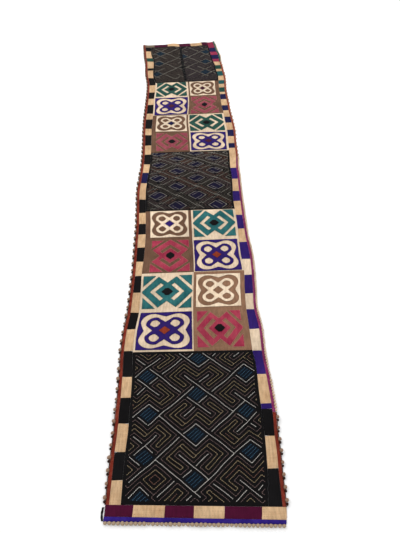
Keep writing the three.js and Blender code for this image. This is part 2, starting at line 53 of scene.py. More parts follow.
# %% [markdown]
# ## The lie of the cloth
#
# A hand-sewn strip is never straight: its seams wander and its edges wave. One way would be to
# model every patch by eye. It is easier to write down where a few cross lines of the cloth lie
# on the floor, in millimetres, and to let smooth long lines run through them. Each piece is then
# laid between two long lines and two cross lines, and all pieces meet along the same seams.

# %% Cross lines of the cloth
MIDDLE_X = -4.811
MIDDLE_Y = 1745.994
ROW_COLUMNS = ("name", "y_left", "y_right", "edge_left", "seam_left", "middle", "seam_right",
               "edge_right", "lift_left", "lift_right")
ROW_TABLE = (
    ("near_edge", 126, 100, -302, -250, -3, 240, 276, 0, 0),
    ("near_hem", 140, 113, -301, -250, -3, 240, 280, 0, 0),
    ("near_panel", 173, 149, -300, -250, -3, 228, 285, 0, 1),
    ("", 250, 235, -298, -249, -2, 238, 288, 2, 0),
    ("", 330, 312, -296, -247, -1, 243, 292, 0, 2),
    ("", 400, 380, -292, -242, -1, 246, 293, 1, 1),
    ("magenta_start", 463, 448, -291, -241, 0, 246, 297, 5, 4),
    ("", 530, 520, -290, -240, 1, 245, 297, 1, 1),
    ("", 600, 592, -290, -240, 2, 247, 294, 0, 2),
    ("", 655, 647, -291, -242, 3, 246, 291, 2, 0),
    ("near_block_1", 706, 697, -292, -244, 3, 240, 290, 0, 0),
    ("", 800, 798, -287, -240, 4, 239, 292, 1, 2),
    ("near_block_2", 896, 896, -276, -228, 6, 237, 283, 3, 0),
    ("", 996, 995, -272, -226, 10, 241, 290, 0, 1),
    ("near_block_3", 1097, 1099, -268, -226, 15, 249, 296, 0, 2),
    ("", 1200, 1202, -267, -220, 16, 243, 298, 2, 0),
    ("near_block_4", 1302, 1306, -267, -218, 14, 244, 291, 0, 0),
    ("", 1402, 1404, -267, -220, 13, 245, 290, 1, 2),
    ("middle_panel", 1500, 1502, -271, -225, 12, 243, 290, 0, 1),
    ("", 1580, 1582, -274, -228, 13, 241, 291, 3, 0),
    ("", 1665, 1665, -276, -230, 14, 246, 292, 1, 1),
    ("", 1765, 1765, -269, -224, 15, 250, 295, 5, 2),
    ("", 1840, 1842, -265, -218, 17, 248, 295, 1, 0),
    ("orange_start", 1912, 1925, -263, -214, 18, 252, 302, 0, 4),
    ("far_block_1", 1990, 1996, -262, -213, 20, 254, 304, 2, 1),
    ("", 2092, 2094, -265, -215, 19, 256, 306, 0, 0),
    ("far_block_2", 2194, 2190, -268, -217, 18, 259, 310, 1, 2),
    ("", 2285, 2290, -270, -216, 15, 254, 307, 3, 0),
    ("far_block_3", 2376, 2390, -268, -214, 17, 250, 300, 0, 1),
    ("", 2482, 2498, -265, -213, 25, 244, 297, 1, 0),
    ("far_block_4", 2590, 2605, -262, -213, 27, 243, 293, 0, 2),
    ("", 2688, 2705, -261, -207, 25, 242, 293, 2, 1),
    ("far_panel", 2785, 2805, -264, -209, 22, 245, 298, 1, 0),
    ("", 2865, 2880, -275, -226, 4, 246, 297, 4, 1),
    ("", 2945, 2960, -282, -230, -3, 237, 291, 1, 3),
    ("", 3015, 3025, -286, -229, -6, 234, 288, 0, 1),
    ("teal_start", 3080, 3085, -290, -230, -11, 224, 282, 3, 0),
    ("", 3145, 3140, -298, -239, -15, 218, 282, 1, 3),
    ("", 3205, 3198, -304, -252, -20, 210, 279, 0, 1),
    ("", 3275, 3265, -309, -256, -22, 206, 266, 3, 4),
    ("far_hem", 3332, 3345, -314, -259, -22, 198, 257, 2, 3),
    ("far_edge", 3370, 3400, -317, -260, -22, 195, 248, 6, 8),
)
FAR_SEAM = (8, 4, -3, -6, -11, -15, -20, -22, -22)
rows = {key: [row[i] for row in ROW_TABLE] for i, key in enumerate(ROW_COLUMNS)}
row_at = {name: i for i, name in enumerate(rows["name"]) if name}
LAST_ROW = len(ROW_TABLE) - 1
print("cross lines", len(ROW_TABLE), "named", len(row_at))

# %% [markdown]
# A long line is the smooth curve through its points on all cross lines. Any place of the cloth is
# then a row place along the strip and a share of the way from one long line to another.

# %% Long lines through the cross lines
def cross_y(index, x):
    share = (x - rows["seam_left"][index]) / (rows["seam_right"][index] - rows["seam_left"][index])
    return rows["y_left"][index] + share * (rows["y_right"][index] - rows["y_left"][index])


def lane_points(first, xs):
    return np.array([(x, cross_y(first + i, x)) for i, x in enumerate(xs)], float)


lanes = {key: lane_points(0, rows[key])
         for key in ("edge_left", "seam_left", "middle", "seam_right", "edge_right")}
far_rows = LAST_ROW - row_at["far_panel"] + 1
lanes["far_seam"] = lane_points(row_at["far_panel"],
                                [FAR_SEAM[min(i, len(FAR_SEAM) - 1)] for i in range(far_rows)])


def lane(name, v):
    """Points of a long line at row places v, as a smooth curve through its cross lines."""
    points = lanes[name]
    v = np.asarray(v, float) - (row_at["far_panel"] if name == "far_seam" else 0)
    v = np.clip(v, 0, len(points) - 1)
    i = np.floor(v).astype(int)
    t = (v - i)[..., None]
    last = len(points) - 1
    p0, p1 = points[np.maximum(i - 1, 0)], points[i]
    p2, p3 = points[np.minimum(i + 1, last)], points[np.minimum(i + 2, last)]
    m0, m1 = (p2 - p0) / 2, (p3 - p1) / 2
    return ((2 * p1 - 2 * p2 + m0 + m1) * t ** 3 + (-3 * p1 + 3 * p2 - 2 * m0 - m1) * t ** 2
            + m0 * t + p1)


def between(left, right, v, share, inset_left=0.0, inset_right=0.0):
    """Points a share of the way from one long line to another, after the insets in millimetres."""
    start, end = lane(left, v), lane(right, v)
    along = (end - start) / np.linalg.norm(end - start, axis=-1, keepdims=True)
    start, end = start + along * inset_left, end - along * inset_right
    return start + (end - start) * np.asarray(share)[..., None]


print("left edge", lane("edge_left", [0, 20]).round(1).tolist())

# %% [markdown]
# ## Folds, lifted edges and small ripples
#
# The cloth lies flat but for a few soft folds, and its edges lift off the floor here and there.
# A cloth simulation would make folds of its own, somewhere else. These are placed where the
# real ones are, as low ridges between two points. A faint ripple over everything keeps the
# sheets from looking like card.

# %% Height of the cloth over the floor
# Each fold runs from x, y to x, y and has a half width and a height, all in millimetres.
FOLD_TABLE = (
    (-300, 470, 300, 410, 45, 3.5),
    (-290, 1770, -80, 1752, 45, 3.0),
    (-12, 2900, -22, 3300, 42, 2.5),
    (-96, 3330, -82, 3400, 60, 6.0),
    (148, 3340, 160, 3400, 60, 5.0),
)
LIFT_REACH = 1.2
RIPPLE_MM = 0.16


def fold_height(x, y):
    height = np.zeros_like(x)
    for from_x, from_y, to_x, to_y, half_width, rise in FOLD_TABLE:
        run_x, run_y = to_x - from_x, to_y - from_y
        along = ((x - from_x) * run_x + (y - from_y) * run_y) / (run_x ** 2 + run_y ** 2)
        along = np.clip(along, 0, 1)
        away = np.hypot(x - from_x - along * run_x, y - from_y - along * run_y) / half_width
        height += np.where(away < 1, rise * np.cos(np.minimum(away, 1) * math.pi / 2) ** 2, 0)
    return height


def edge_lift(v, x):
    below = np.clip(np.floor(v).astype(int), 0, LAST_ROW - 1)
    share = v - below
    lift = np.zeros_like(x)
    for side, mask in (("left", x < 0), ("right", x >= 0)):
        steps = np.array(rows["lift_" + side], float)
        rise = steps[below] * (1 - share) + steps[below + 1] * share
        seam, edge = lane("seam_" + side, v)[..., 0], lane("edge_" + side, v)[..., 0]
        outward = np.clip((x - seam) / (edge - seam), 0, LIFT_REACH)
        lift = np.where(mask, rise * outward ** 2, lift)
    return lift


def ripple(x, y):
    return RIPPLE_MM * (1 + np.sin(x / 9.5 + 1.7 * np.sin(y / 41)) * np.sin(y / 13 + 1.1 * np.sin(x / 37)))


def floor_side(v, x, y):
    return np.maximum(fold_height(x, y) + edge_lift(v, x), 0)


def to_frame(x, y, z):
    """Floor millimetres to metres in the frame."""
    return np.stack([(x - MIDDLE_X) / 1000, (y - MIDDLE_Y) / 1000, np.asarray(z) / 1000], axis=-1)


print("fold at the near panel", round(float(fold_height(np.array([0.0]), np.array([440.0]))[0]), 2), "mm")

# %% [markdown]
# ## Helpers for laying a sheet
#
# A sheet starts as a grid primitive. Its points are moved to their places on the cloth, and a
# Solidify modifier, applied, gives it its thickness. The outer cells are narrow, so that the
# edge can dip at its seam like real sewn cloth. The sheet's UV map is written in metres along
# and across the strip, so that the weave follows every bend of the cloth at its true size.

# %% Start a mesh and finish it
def new_grid(name, across, along):
    bpy.ops.object.select_all(action="DESELECT")
    bpy.ops.mesh.primitive_grid_add(x_subdivisions=across, y_subdivisions=along, size=1)
    piece = bpy.context.active_object
    piece.name = name
    piece.data.name = name
    return piece


def grid_steps(piece, across, along):
    """Column and row of each point of a grid."""
    grid = points_of(piece)
    return (np.rint((grid[:, 0] + 0.5) * across).astype(int),
            np.rint((grid[:, 1] + 0.5) * along).astype(int))


def points_of(piece):
    flat = np.zeros(len(piece.data.vertices) * 3)
    piece.data.vertices.foreach_get("co", flat)
    return flat.reshape(-1, 3)


def place_points(piece, points):
    piece.data.vertices.foreach_set("co", np.asarray(points, float).ravel())
    piece.data.update()


def write_uv(piece, across, along):
    """UV map in metres, from one pair of values for each vertex."""
    layer = piece.data.uv_layers.active or piece.data.uv_layers.new(name="Cloth")
    corner = np.zeros(len(piece.data.loops), int)
    piece.data.loops.foreach_get("vertex_index", corner)
    layer.data.foreach_set("uv", np.stack([across[corner], along[corner]], axis=1).ravel())


def choose(piece):
    bpy.ops.object.select_all(action="DESELECT")
    bpy.context.view_layer.objects.active = piece
    piece.select_set(True)


def apply_modifier(piece, kind, **settings):
    choose(piece)
    modifier = piece.modifiers.new(kind.title(), kind)
    for key, value in settings.items():
        setattr(modifier, key, value)
    bpy.ops.object.modifier_apply(modifier=modifier.name)
    return piece


def smooth(piece, degrees):
    choose(piece)
    bpy.ops.object.shade_smooth_by_angle(angle=math.radians(degrees))
    return piece


def finish_sheet(piece, points, across, along, paint, thickness, degrees=60):
    """Places the points, writes the UV map and the paint, and thickens the sheet downward."""
    place_points(piece, points)
    write_uv(piece, across, along)
    piece.data.materials.append(paint)
    apply_modifier(piece, "SOLIDIFY", thickness=thickness / 1000, offset=-1)
    return smooth(piece, degrees)


def join(name, pieces):
    bpy.ops.object.select_all(action="DESELECT")
    for piece in pieces:
        piece.select_set(True)
    bpy.context.view_layer.objects.active = pieces[0]
    if len(pieces) > 1:
        bpy.ops.object.join()
    whole = bpy.context.view_layer.objects.active
    whole.name = name
    whole.data.name = name
    return whole


print("mesh helpers ready")

# %% [markdown]
# The next function lays most of the sheets. It is given two long lines and two cross lines,
# stays a little inside them, and lets the outer points dip, so that neighbours meet in a seam.

# %% Lay a sheet between two long lines
SEAM_DIP = 0.7
SEAM_CELL = 2.5


def cell_shares(count, size):
    """Shares of a width of that size in millimetres, with a narrow cell at each end."""
    rim = min(SEAM_CELL / size, 0.2)
    return np.concatenate([[0], np.linspace(rim, 1 - rim, count - 1), [1]])


def laid_sheet(name, left, right, near, far, cells, thickness, paint, insets=(0.2, 0.2), end_gap=0.2,
               slant=0.0):
    """A sheet from row place near to row place far, cells = (across, along)."""
    across, along = cells
    piece = new_grid(name, across, along)
    i, j = grid_steps(piece, across, along)
    middle = (near + far) / 2
    width = float(np.linalg.norm(lane(right, middle) - lane(left, middle)))
    length = float(np.linalg.norm(lane(left, far) - lane(left, near)))
    u, w = cell_shares(across, width)[i], cell_shares(along, length)[j]
    v = near + (far - near) * w
    spot = between(left, right, v, u, *insets)
    shift = np.where(j == 0, end_gap, 0) - np.where(j == along, end_gap, 0) + slant * (u - 0.5)
    x, y = spot[:, 0], spot[:, 1] + shift
    rim = (i == 0) | (i == across) | (j == 0) | (j == along)
    top = floor_side(v, x, y) + thickness + ripple(x, y) - np.where(rim, SEAM_DIP, 0)
    return finish_sheet(piece, to_frame(x, y, top), u * width / 1000, (y - MIDDLE_Y) / 1000 + 2, paint,
                        thickness - SEAM_DIP - 0.1)


print("seam dip", SEAM_DIP, "mm")

# %% [markdown]
# ## Raffia cloth as a material
#
# Raffia is woven from flat strips of leaf about a millimetre wide, dyed unevenly and without
# sheen. A picture of cloth could be wrapped on the sheets, but nodes can make it at any size:
# two Wave textures at right angles are the strips, stretched noise makes some strips darker than
# others, and a large noise fades the dye. All of it reads the UV map in metres.

# %% A helper for node materials
def linear(red, green, blue):
    """Colour as a screen shows it, 0 to 255, as the shader wants it."""
    values = []
    for c in (red, green, blue):
        c /= 255
        values.append(c / 12.92 if c <= 0.04045 else ((c + 0.055) / 1.055) ** 2.4)
    return (*values, 1.0)


class Nodes:
    """Adds nodes to a material and links them, one call for each."""

    def __init__(self, name, roughness):
        self.material = bpy.data.materials.new(name)
        self.material.use_nodes = True
        self.tree = self.material.node_tree
        self.shader = next(n for n in self.tree.nodes if n.type == "BSDF_PRINCIPLED")
        self.shader.inputs["Roughness"].default_value = roughness
        self.shader.inputs["Specular IOR Level"].default_value = 0.1

    def add(self, kind, inputs=(), **settings):
        node = self.tree.nodes.new(kind)
        for key, value in settings.items():
            setattr(node, key, value)
        for socket, value in dict(inputs).items():
            self.put(node.inputs[socket], value)
        return node

    def put(self, socket, value):
        if isinstance(value, bpy.types.NodeSocket):
            self.tree.links.new(value, socket)
        else:
            socket.default_value = value

    def math(self, operation, a, b):
        return self.add("ShaderNodeMath", {0: a, 1: b}, operation=operation).outputs[0]

    def spread(self, value, low, high, to_low=0.0, to_high=1.0):
        node = self.add("ShaderNodeMapRange", {0: value, 1: low, 2: high, 3: to_low, 4: to_high})
        return node.outputs[0]

    def mix(self, share, a, b, blend="MIX"):
        node = self.add("ShaderNodeMix", data_type="RGBA", blend_type=blend)
        self.put(node.inputs[0], share)
        self.put(node.inputs[6], a)
        self.put(node.inputs[7], b)
        return node.outputs[2]

    def darken(self, tone, dark):
        grey = self.add("ShaderNodeCombineColor", {0: dark, 1: dark, 2: dark}).outputs[0]
        return self.mix(1.0, tone, grey, "MULTIPLY")

    def noise(self, place, scale, detail):
        node = self.add("ShaderNodeTexNoise", {"Vector": place, "Scale": scale, "Detail": detail,
                                               "Roughness": 0.6})
        return node.outputs[0]

    def stretched(self, place, scale):
        return self.add("ShaderNodeMapping", {"Vector": place, "Scale": scale}).outputs[0]

    def wave(self, place, pitch, direction, distortion=0.6):
        node = self.add("ShaderNodeTexWave", {"Vector": place, "Scale": 0.31416 / pitch,
                                              "Distortion": distortion, "Detail": 1.0,
                                              "Detail Scale": 1.5},
                        wave_type="BANDS", bands_direction=direction, wave_profile="SIN")
        return node.outputs["Fac"]

    def finish(self, colour, height, distance):
        self.put(self.shader.inputs["Base Color"], colour)
        bump = self.add("ShaderNodeBump", {"Height": height, "Distance": distance, "Strength": 0.6})
        self.put(self.shader.inputs["Normal"], bump.outputs[0])
        return self.material


# %% [markdown]
# One function makes every dyed cloth. Its two colours are the full dye and the worn one, and three
# shares say how streaked and how blotched the cloth looks and how much shade is painted into the
# hollows of its weave.

# %% Woven raffia
RAFFIA_PITCH = 0.0014


def raffia(name, colour, faded, streak=0.35, blotch=0.35, shade=0.45):
    """Dyed plain-weave raffia: colour where the dye is full, faded where it is worn, with painted shade in
    the hollows of the weave and in small creases.
    """
    n = Nodes(name, 0.88)
    place = n.add("ShaderNodeTexCoord").outputs["UV"]
    warp, weft = n.wave(place, RAFFIA_PITCH, "X"), n.wave(place, RAFFIA_PITCH * 1.15, "Y")
    weave = n.math("MULTIPLY", n.math("ADD", warp, weft), 0.5)
    down = n.noise(n.stretched(place, (420, 9, 1)), 1.0, 2.0)
    over = n.noise(n.stretched(place, (14, 360, 1)), 1.0, 2.0)
    strips = n.spread(n.math("ADD", down, over), 0.72, 1.28)
    wear = n.spread(n.noise(place, 16.0, 5.0), 0.38, 0.66)
    large = n.spread(n.noise(place, 4.5, 2.0), 0.35, 0.65)
    tone = n.mix(n.math("MULTIPLY", strips, streak), linear(*colour), linear(*faded))
    tone = n.mix(n.math("MULTIPLY", wear, blotch), tone, linear(*faded))
    # Painted shade: the hollows of the weave are darkened by the share shade.
    dark = n.math("SUBTRACT", 1.0, n.math("MULTIPLY", n.spread(weave, 0.5, 0.05), shade))
    # Painted shade: stretched noise darkens the cloth as shade in small creases.
    painted_crease_shade = n.noise(n.stretched(place, (110, 26, 1)), 1.0, 3.0)
    dark = n.math("MULTIPLY", dark, n.spread(large, 0.0, 1.0, 0.82, 1.08))
    dark = n.math("MULTIPLY", dark, n.spread(painted_crease_shade, 0.36, 0.62, 0.84, 1.08))
    tone = n.darken(tone, dark)
    height = n.math("ADD", n.math("MULTIPLY", weave, 0.7), n.math("MULTIPLY", strips, 0.3))
    return n.finish(tone, height, 0.0006)


cloth = {
    "black": raffia("raffia_black", (9, 8, 9), (20, 18, 18)),
    "ink": raffia("raffia_ink", (12, 11, 12), (26, 24, 25)),
    "beige": raffia("raffia_undyed", (186, 146, 106), (222, 190, 150), streak=0.6, blotch=0.6,
                    shade=0.35),
    # Cream cloth for four grounds, and lighter beige with a painted highlight for three right border patches.
    "cream": raffia("raffia_cream_and_lit_beige", (206, 180, 150), (236, 216, 190), streak=0.5, blotch=0.5, shade=0.3),
    "brown": raffia("raffia_brown", (98, 70, 54), (126, 95, 74)),
    "light_brown": raffia("raffia_light_brown", (128, 94, 72), (160, 122, 95)),
    "blue": raffia("raffia_violet_blue", (38, 20, 92), (56, 36, 112)),
    "navy": raffia("raffia_navy", (20, 20, 62), (36, 36, 78)),
    "teal": raffia("raffia_blue_green", (22, 74, 76), (44, 96, 94)),
    "green": raffia("raffia_green", (24, 62, 54), (46, 84, 70)),
    "wine": raffia("raffia_wine", (64, 6, 36), (88, 20, 54)),
    "pink": raffia("raffia_pink", (136, 36, 66), (162, 66, 88)),
    "rust": raffia("raffia_rust", (132, 46, 26), (152, 68, 44)),
    "plum": raffia("raffia_plum", (64, 24, 42), (84, 42, 58)),
    "grey": raffia("raffia_grey", (112, 96, 80), (138, 122, 104)),
}
print("raffia colours", len(cloth))

# %% [markdown]
# ## The black panels
#
# Each panel is one loom width of raffia, dyed black and covered with embroidery. The sheets are
# laid first; the thread comes later, as geometry of its own, because it stands up from the cloth
# and catches the light in lines.

# %% Lay the four panel sheets
PANEL_THICKNESS = 2.0
# Node, left and right long line, near and far cross line, cells across and along.
PANEL_TABLE = (
    ("panel_near", "seam_left", "seam_right", "near_panel", "near_block_1", 40, 46),
    ("panel_middle", "seam_left", "seam_right", "middle_panel", "far_block_1", 40, 42),
    ("panel_far_left", "seam_left", "far_seam", "far_panel", "far_hem", 22, 46),
    ("panel_far_right", "far_seam", "seam_right", "far_panel", "far_hem", 22, 46),
)
panels = {}
for name, left, right, near, far, across, along in PANEL_TABLE:
    panels[name] = laid_sheet("cloth_" + name, left, right, row_at[near], row_at[far], (across, along),
                              PANEL_THICKNESS, cloth["black"])
print("panels", {k: len(p.data.polygons) for k, p in panels.items()})

# %% [markdown]
# ## The grounds of the blocks
#
# Under every two blocks lies one piece of plain raffia, undyed or brown. It is laid like the
# panels, a little lower, because the motifs are sewn on top of it.

# %% Lay the eight grounds
GROUND_THICKNESS = 1.6
GROUND_TABLE = (
    ("ground_near_left_1", "left", "near_block_1", "near_block_3", "cream"),
    ("ground_near_left_2", "left", "near_block_3", "middle_panel", "brown"),
    ("ground_near_right_1", "right", "near_block_1", "near_block_3", "light_brown"),
    ("ground_near_right_2", "right", "near_block_3", "middle_panel", "cream"),
    ("ground_far_left_1", "left", "far_block_1", "far_block_3", "brown"),
    ("ground_far_left_2", "left", "far_block_3", "far_panel", "cream"),
    ("ground_far_right_1", "right", "far_block_1", "far_block_3", "cream"),
    ("ground_far_right_2", "right", "far_block_3", "far_panel", "brown"),
)


def column_lines(side):
    return ("seam_left", "middle") if side == "left" else ("middle", "seam_right")


grounds = {}
for name, side, near, far, colour in GROUND_TABLE:
    grounds[name] = laid_sheet("cloth_" + name, *column_lines(side), row_at[near], row_at[far], (22, 36),
                               GROUND_THICKNESS, cloth[colour])
print("grounds", len(grounds))

# %% [markdown]
# ## The patchwork border
#
# The border down each side is sewn from short patches, undyed and dark by turns. Colouring one
# long strip would give flat stripes, so each patch is its own small sheet with a dip at its
# seams, and the patches of a side are then joined into one piece. The table gives the far end
# of each patch along the strip and its colour; every patch starts where the last one ended.

# %% Border patches
BORDER_THICKNESS = 1.8
PATCH_CELLS = (7, 10)
PATCH_SLANT = 2.4
LEFT_PATCHES = (
    (245, "beige"), (333, "ink"), (428, "beige"), (522, "black"), (603, "beige"), (712, "ink"),
    (810, "beige"), (890, "black"), (993, "beige"), (1085, "ink"), (1168, "beige"), (1255, "black"),
    (1340, "beige"), (1412, "ink"), (1490, "beige"), (1590, "black"), (1720, "beige"), (1808, "navy"),
    (1882, "beige"), (1972, "ink"), (2060, "beige"), (2165, "black"), (2232, "beige"), (2335, "ink"),
    (2400, "beige"), (2505, "black"), (2580, "beige"), (2660, "ink"), (2755, "beige"), (2855, "black"),
    (2965, "beige"), (2998, "ink"), (3100, "beige"), (3155, "green"), (3265, "beige"), (3335, "black"),
)
# Painted highlight: the right patches ending at 792, 970 and 1165 are undyed beige shown in the lighter cream
# cloth, where more light falls.
RIGHT_PATCHES = (
    (260, "ink"), (365, "beige"), (460, "black"), (480, "blue"), (594, "beige"), (694, "blue"),
    (792, "cream"), (888, "blue"), (970, "cream"), (1072, "blue"), (1165, "cream"), (1272, "blue"),
    (1360, "beige"), (1457, "blue"), (1560, "beige"), (1638, "blue"), (1738, "beige"), (1833, "blue"),
    (1925, "beige"), (2018, "beige"), (2065, "navy"), (2135, "beige"), (2203, "navy"), (2280, "beige"),
    (2347, "navy"), (2420, "beige"), (2482, "navy"), (2557, "beige"), (2622, "navy"), (2650, "beige"),
    (2710, "green"), (2757, "beige"), (2808, "teal"), (2870, "beige"), (2937, "teal"), (2970, "beige"),
    (3027, "green"), (3082, "beige"), (3125, "pink"), (3190, "navy"), (3240, "pink"), (3307, "navy"),
    (3350, "pink"),
)
BINDING_WIDTH = 12
SEAM_GAP = 0.4
fine_rows = np.linspace(0, LAST_ROW, LAST_ROW * 40 + 1)


def row_place(left, right, y):
    """The row place whose cross line meets the middle between two long lines at that y."""
    middle = between(left, right, fine_rows, np.full(len(fine_rows), 0.5))
    return float(np.interp(y, middle[:, 1], fine_rows))


def border_lines(side):
    """The long lines of a border, and how far inside them its cloth lies in millimetres."""
    if side == "left":
        return ("edge_left", "seam_left"), (BINDING_WIDTH + SEAM_GAP, 0.2)
    return ("seam_right", "edge_right"), (0.2, BINDING_WIDTH + SEAM_GAP)


def patch_rows(side, patches):
    """Number, near and far row place and colour of each patch of a border."""
    lines = border_lines(side)[0]
    near = row_at["near_panel"]
    for count, (end, colour) in enumerate(patches):
        far = row_at["far_hem"] if count == len(patches) - 1 else row_place(*lines, end)
        yield count, near, far, colour
        near = far


def border(name, side, patches):
    lines, insets = border_lines(side)
    made = [laid_sheet("patch", *lines, near, far, PATCH_CELLS, BORDER_THICKNESS, cloth[colour], insets,
                       slant=PATCH_SLANT * math.sin(count * 2.3), end_gap=0.1)
            for count, near, far, colour in patch_rows(side, patches)]
    return join(name, made)


BORDER_PATCHES = {"left": LEFT_PATCHES, "right": RIGHT_PATCHES}
borders = {"border_" + side: border("cloth_border_" + side, side, patches)
           for side, patches in BORDER_PATCHES.items()}
print("patches", len(LEFT_PATCHES), len(RIGHT_PATCHES))

# %% [markdown]
# ## The hems
#
# The hems at both ends are sewn from wider patches, wine-red and undyed. They run across the
# strip, so here the long lines bound the ends of the row of patches and the shares across it
# bound each patch.

# %% Hem patches
HEM_CELLS = (12, 7)
HEM_DEPTH = 33
# The right end of each patch in millimetres across the floor, and its colour.
NEAR_HEM = ((-210, "wine"), (-108, "beige"), (-14, "wine"), (84, "beige"), (204, "wine"), (290, "beige"))
FAR_HEM = ((-240, "grey"), (-131, "wine"), (-35, "beige"), (61, "wine"), (155, "beige"), (205, "wine"),
           (260, "pink"))


def hem(name, near, far, patches, insets):
    """Patches between two cross lines, from the left edge to the right edge."""
    made = []
    across, along = HEM_CELLS
    middle = (near + far) / 2
    start, end = lane("edge_left", middle), lane("edge_right", middle)
    begin = 0.0
    for count, (stop_x, colour) in enumerate(patches):
        stop = 1.0 if count == len(patches) - 1 else (stop_x - start[0]) / (end[0] - start[0])
        piece = new_grid("patch", across, along)
        i, j = grid_steps(piece, across, along)
        width = (stop - begin) * float(np.linalg.norm(end - start))
        u = begin + (stop - begin) * cell_shares(across, width)[i]
        w = cell_shares(along, HEM_DEPTH)[j]
        v = near + (far - near) * w
        spot = between("edge_left", "edge_right", v, u, *insets)
        x = spot[:, 0] + 1.5 * math.sin(count * 1.9) * (w - 0.5)
        y = spot[:, 1] + np.where(j == 0, 0.2, 0) - np.where(j == along, 0.2, 0)
        rim = (i == 0) | (i == across) | (j == 0) | (j == along)
        top = floor_side(v, x, y) + BORDER_THICKNESS + ripple(x, y) - np.where(rim, SEAM_DIP, 0)
        made.append(finish_sheet(piece, to_frame(x, y, top), (x - MIDDLE_X) / 1000 + 1,
                                 (y - MIDDLE_Y) / 1000 + 2, cloth[colour], BORDER_THICKNESS - SEAM_DIP - 0.1))
        begin = stop
    return join(name, made)


hems = {
    "hem_near": hem("cloth_hem_near", row_at["near_hem"], row_at["near_panel"], NEAR_HEM, (0, 0)),
    "hem_far": hem("cloth_hem_far", row_at["far_hem"], row_at["far_edge"], FAR_HEM,
                   (BINDING_WIDTH + SEAM_GAP, BINDING_WIDTH + SEAM_GAP)),
}
print("hem patches", len(NEAR_HEM), len(FAR_HEM))

# %% [markdown]
# ## Bound edges
#
# A strip of dyed raffia is wrapped over each edge and held with close stitches, so the edge is a
# low round cord with fine ridges across it. The round form is in the mesh, and the ridges are a
# Wave texture that runs along the strip, as bump and as painted shade in the grooves between them.

# %% Wrapped binding
WRAP_PITCH = 0.0022


def wrapped(name, colour, faded):
    """Cloth with close ridges of thread across its length, and painted shade in the grooves between them."""
    n = Nodes(name, 0.8)
    place = n.add("ShaderNodeTexCoord").outputs["UV"]
    ridges = n.wave(place, WRAP_PITCH, "Y", 1.2)
    worn = n.spread(n.noise(place, 60.0, 4.0), 0.42, 0.62)
    large = n.spread(n.noise(place, 9.0, 2.0), 0.35, 0.65, 0.75, 1.15)
    tone = n.mix(n.math("MULTIPLY", worn, 0.5), linear(*colour), linear(*faded))
    # Painted shade: the grooves between the ridges are darkened; the large noise varies the tone at random.
    dark = n.math("MULTIPLY", n.spread(ridges, 0.0, 0.7, 0.5, 1.0), large)
    return n.finish(n.darken(tone, dark), ridges, 0.0008)


binding_paint = {
    "red": wrapped("binding_red_orange", (126, 44, 30), (156, 76, 56)),
    "magenta": wrapped("binding_magenta", (128, 38, 88), (166, 80, 122)),
    "orange": wrapped("binding_orange", (140, 60, 42), (172, 98, 76)),
    "teal": wrapped("binding_blue_green", (42, 92, 80), (88, 122, 104)),
    "blue": wrapped("binding_blue", (44, 26, 124), (66, 44, 146)),
}
BINDING_CELLS, BINDING_CROWN, BINDING_THICKNESS = 6, 2.8, 0.8
BINDING_SHARES = np.array([0.0, 0.12, 0.32, 0.5, 0.68, 0.88, 1.0])
BINDING_HEIGHTS = np.array([0.9, 1.9, 2.6, BINDING_CROWN, 2.6, 1.9, 0.9])


def edge_and_way_out(edge, v):
    """Points of an edge line at row places v, and the way outward at each."""
    start, end = lane(edge.replace("edge", "seam"), v), lane(edge, v)
    return end, (end - start) / np.linalg.norm(end - start, axis=1, keepdims=True)


def side_binding(name, edge, near, far, paint):
    """A round strip along the inside of an edge line."""
    steps = int(round((far - near) * 14))
    piece = new_grid(name, BINDING_CELLS, steps)
    i = grid_steps(piece, BINDING_CELLS, steps)[0]
    v = near + (far - near) * (points_of(piece)[:, 1] + 0.5)
    end, out = edge_and_way_out(edge, v)
    outward = 1 - BINDING_SHARES[i] if edge == "edge_left" else BINDING_SHARES[i]
    spot = end - out * (BINDING_WIDTH * (1 - outward))[:, None]
    x, y = spot[:, 0], spot[:, 1]
    top = floor_side(v, x, y) + BINDING_HEIGHTS[i] + ripple(x, y) - RIPPLE_MM
    return finish_sheet(piece, to_frame(x, y, top), BINDING_SHARES[i] * BINDING_WIDTH / 1000,
                        (y - MIDDLE_Y) / 1000 + 2, paint, BINDING_THICKNESS, 70)


def near_binding(name, paint):
    """The same strip across the near end."""
    piece = new_grid(name, 90, BINDING_CELLS)
    j = grid_steps(piece, 90, BINDING_CELLS)[1]
    w = BINDING_SHARES[j]
    v = row_at["near_edge"] + w * (row_at["near_hem"] - row_at["near_edge"])
    spot = between("edge_left", "edge_right", v, points_of(piece)[:, 0] + 0.5)
    x, y = spot[:, 0], spot[:, 1]
    top = BINDING_HEIGHTS[j] + ripple(x, y) - RIPPLE_MM
    return finish_sheet(piece, to_frame(x, y, top), w * BINDING_WIDTH / 1000, (x - MIDDLE_X) / 1000 + 1,
                        paint, BINDING_THICKNESS, 70)


BINDING_GAP = 0.01
# Node, name, edge line, near and far cross line, colour.
BINDING_TABLE = (
    ("binding_left", "edge_left_binding", "edge_left", "near_panel", "far_edge", "red"),
    ("binding_right_red", "edge_right_red", "edge_right", "near_panel", "magenta_start", "red"),
    ("binding_right_magenta", "edge_right_magenta", "edge_right", "magenta_start", "orange_start",
     "magenta"),
    ("binding_right_orange", "edge_right_orange", "edge_right", "orange_start", "teal_start", "orange"),
    ("binding_right_teal", "edge_right_teal", "edge_right", "teal_start", "far_edge", "teal"),
)
bindings = {}
for node, name, edge, near, far, colour in BINDING_TABLE:
    start = row_at[near] + (0 if near == "near_panel" else BINDING_GAP)
    stop = row_at[far] - (0 if far == "far_edge" else BINDING_GAP)
    bindings[node] = side_binding(name, edge, start, stop, binding_paint[colour])
bindings["binding_near"] = near_binding("edge_near_binding", binding_paint["blue"])
print("bindings", {k: len(p.data.polygons) for k, p in bindings.items()})

# %% [markdown]
# ## Bobbles along the edges
#
# Little bobbles of knotted raffia stand just outside the bindings. One knotted ball is modelled
# first: a sphere with its points pushed in and out, so that it looks wound and not turned on a
# lathe. The row is then an array of copies, each turned a little differently, in one mesh.

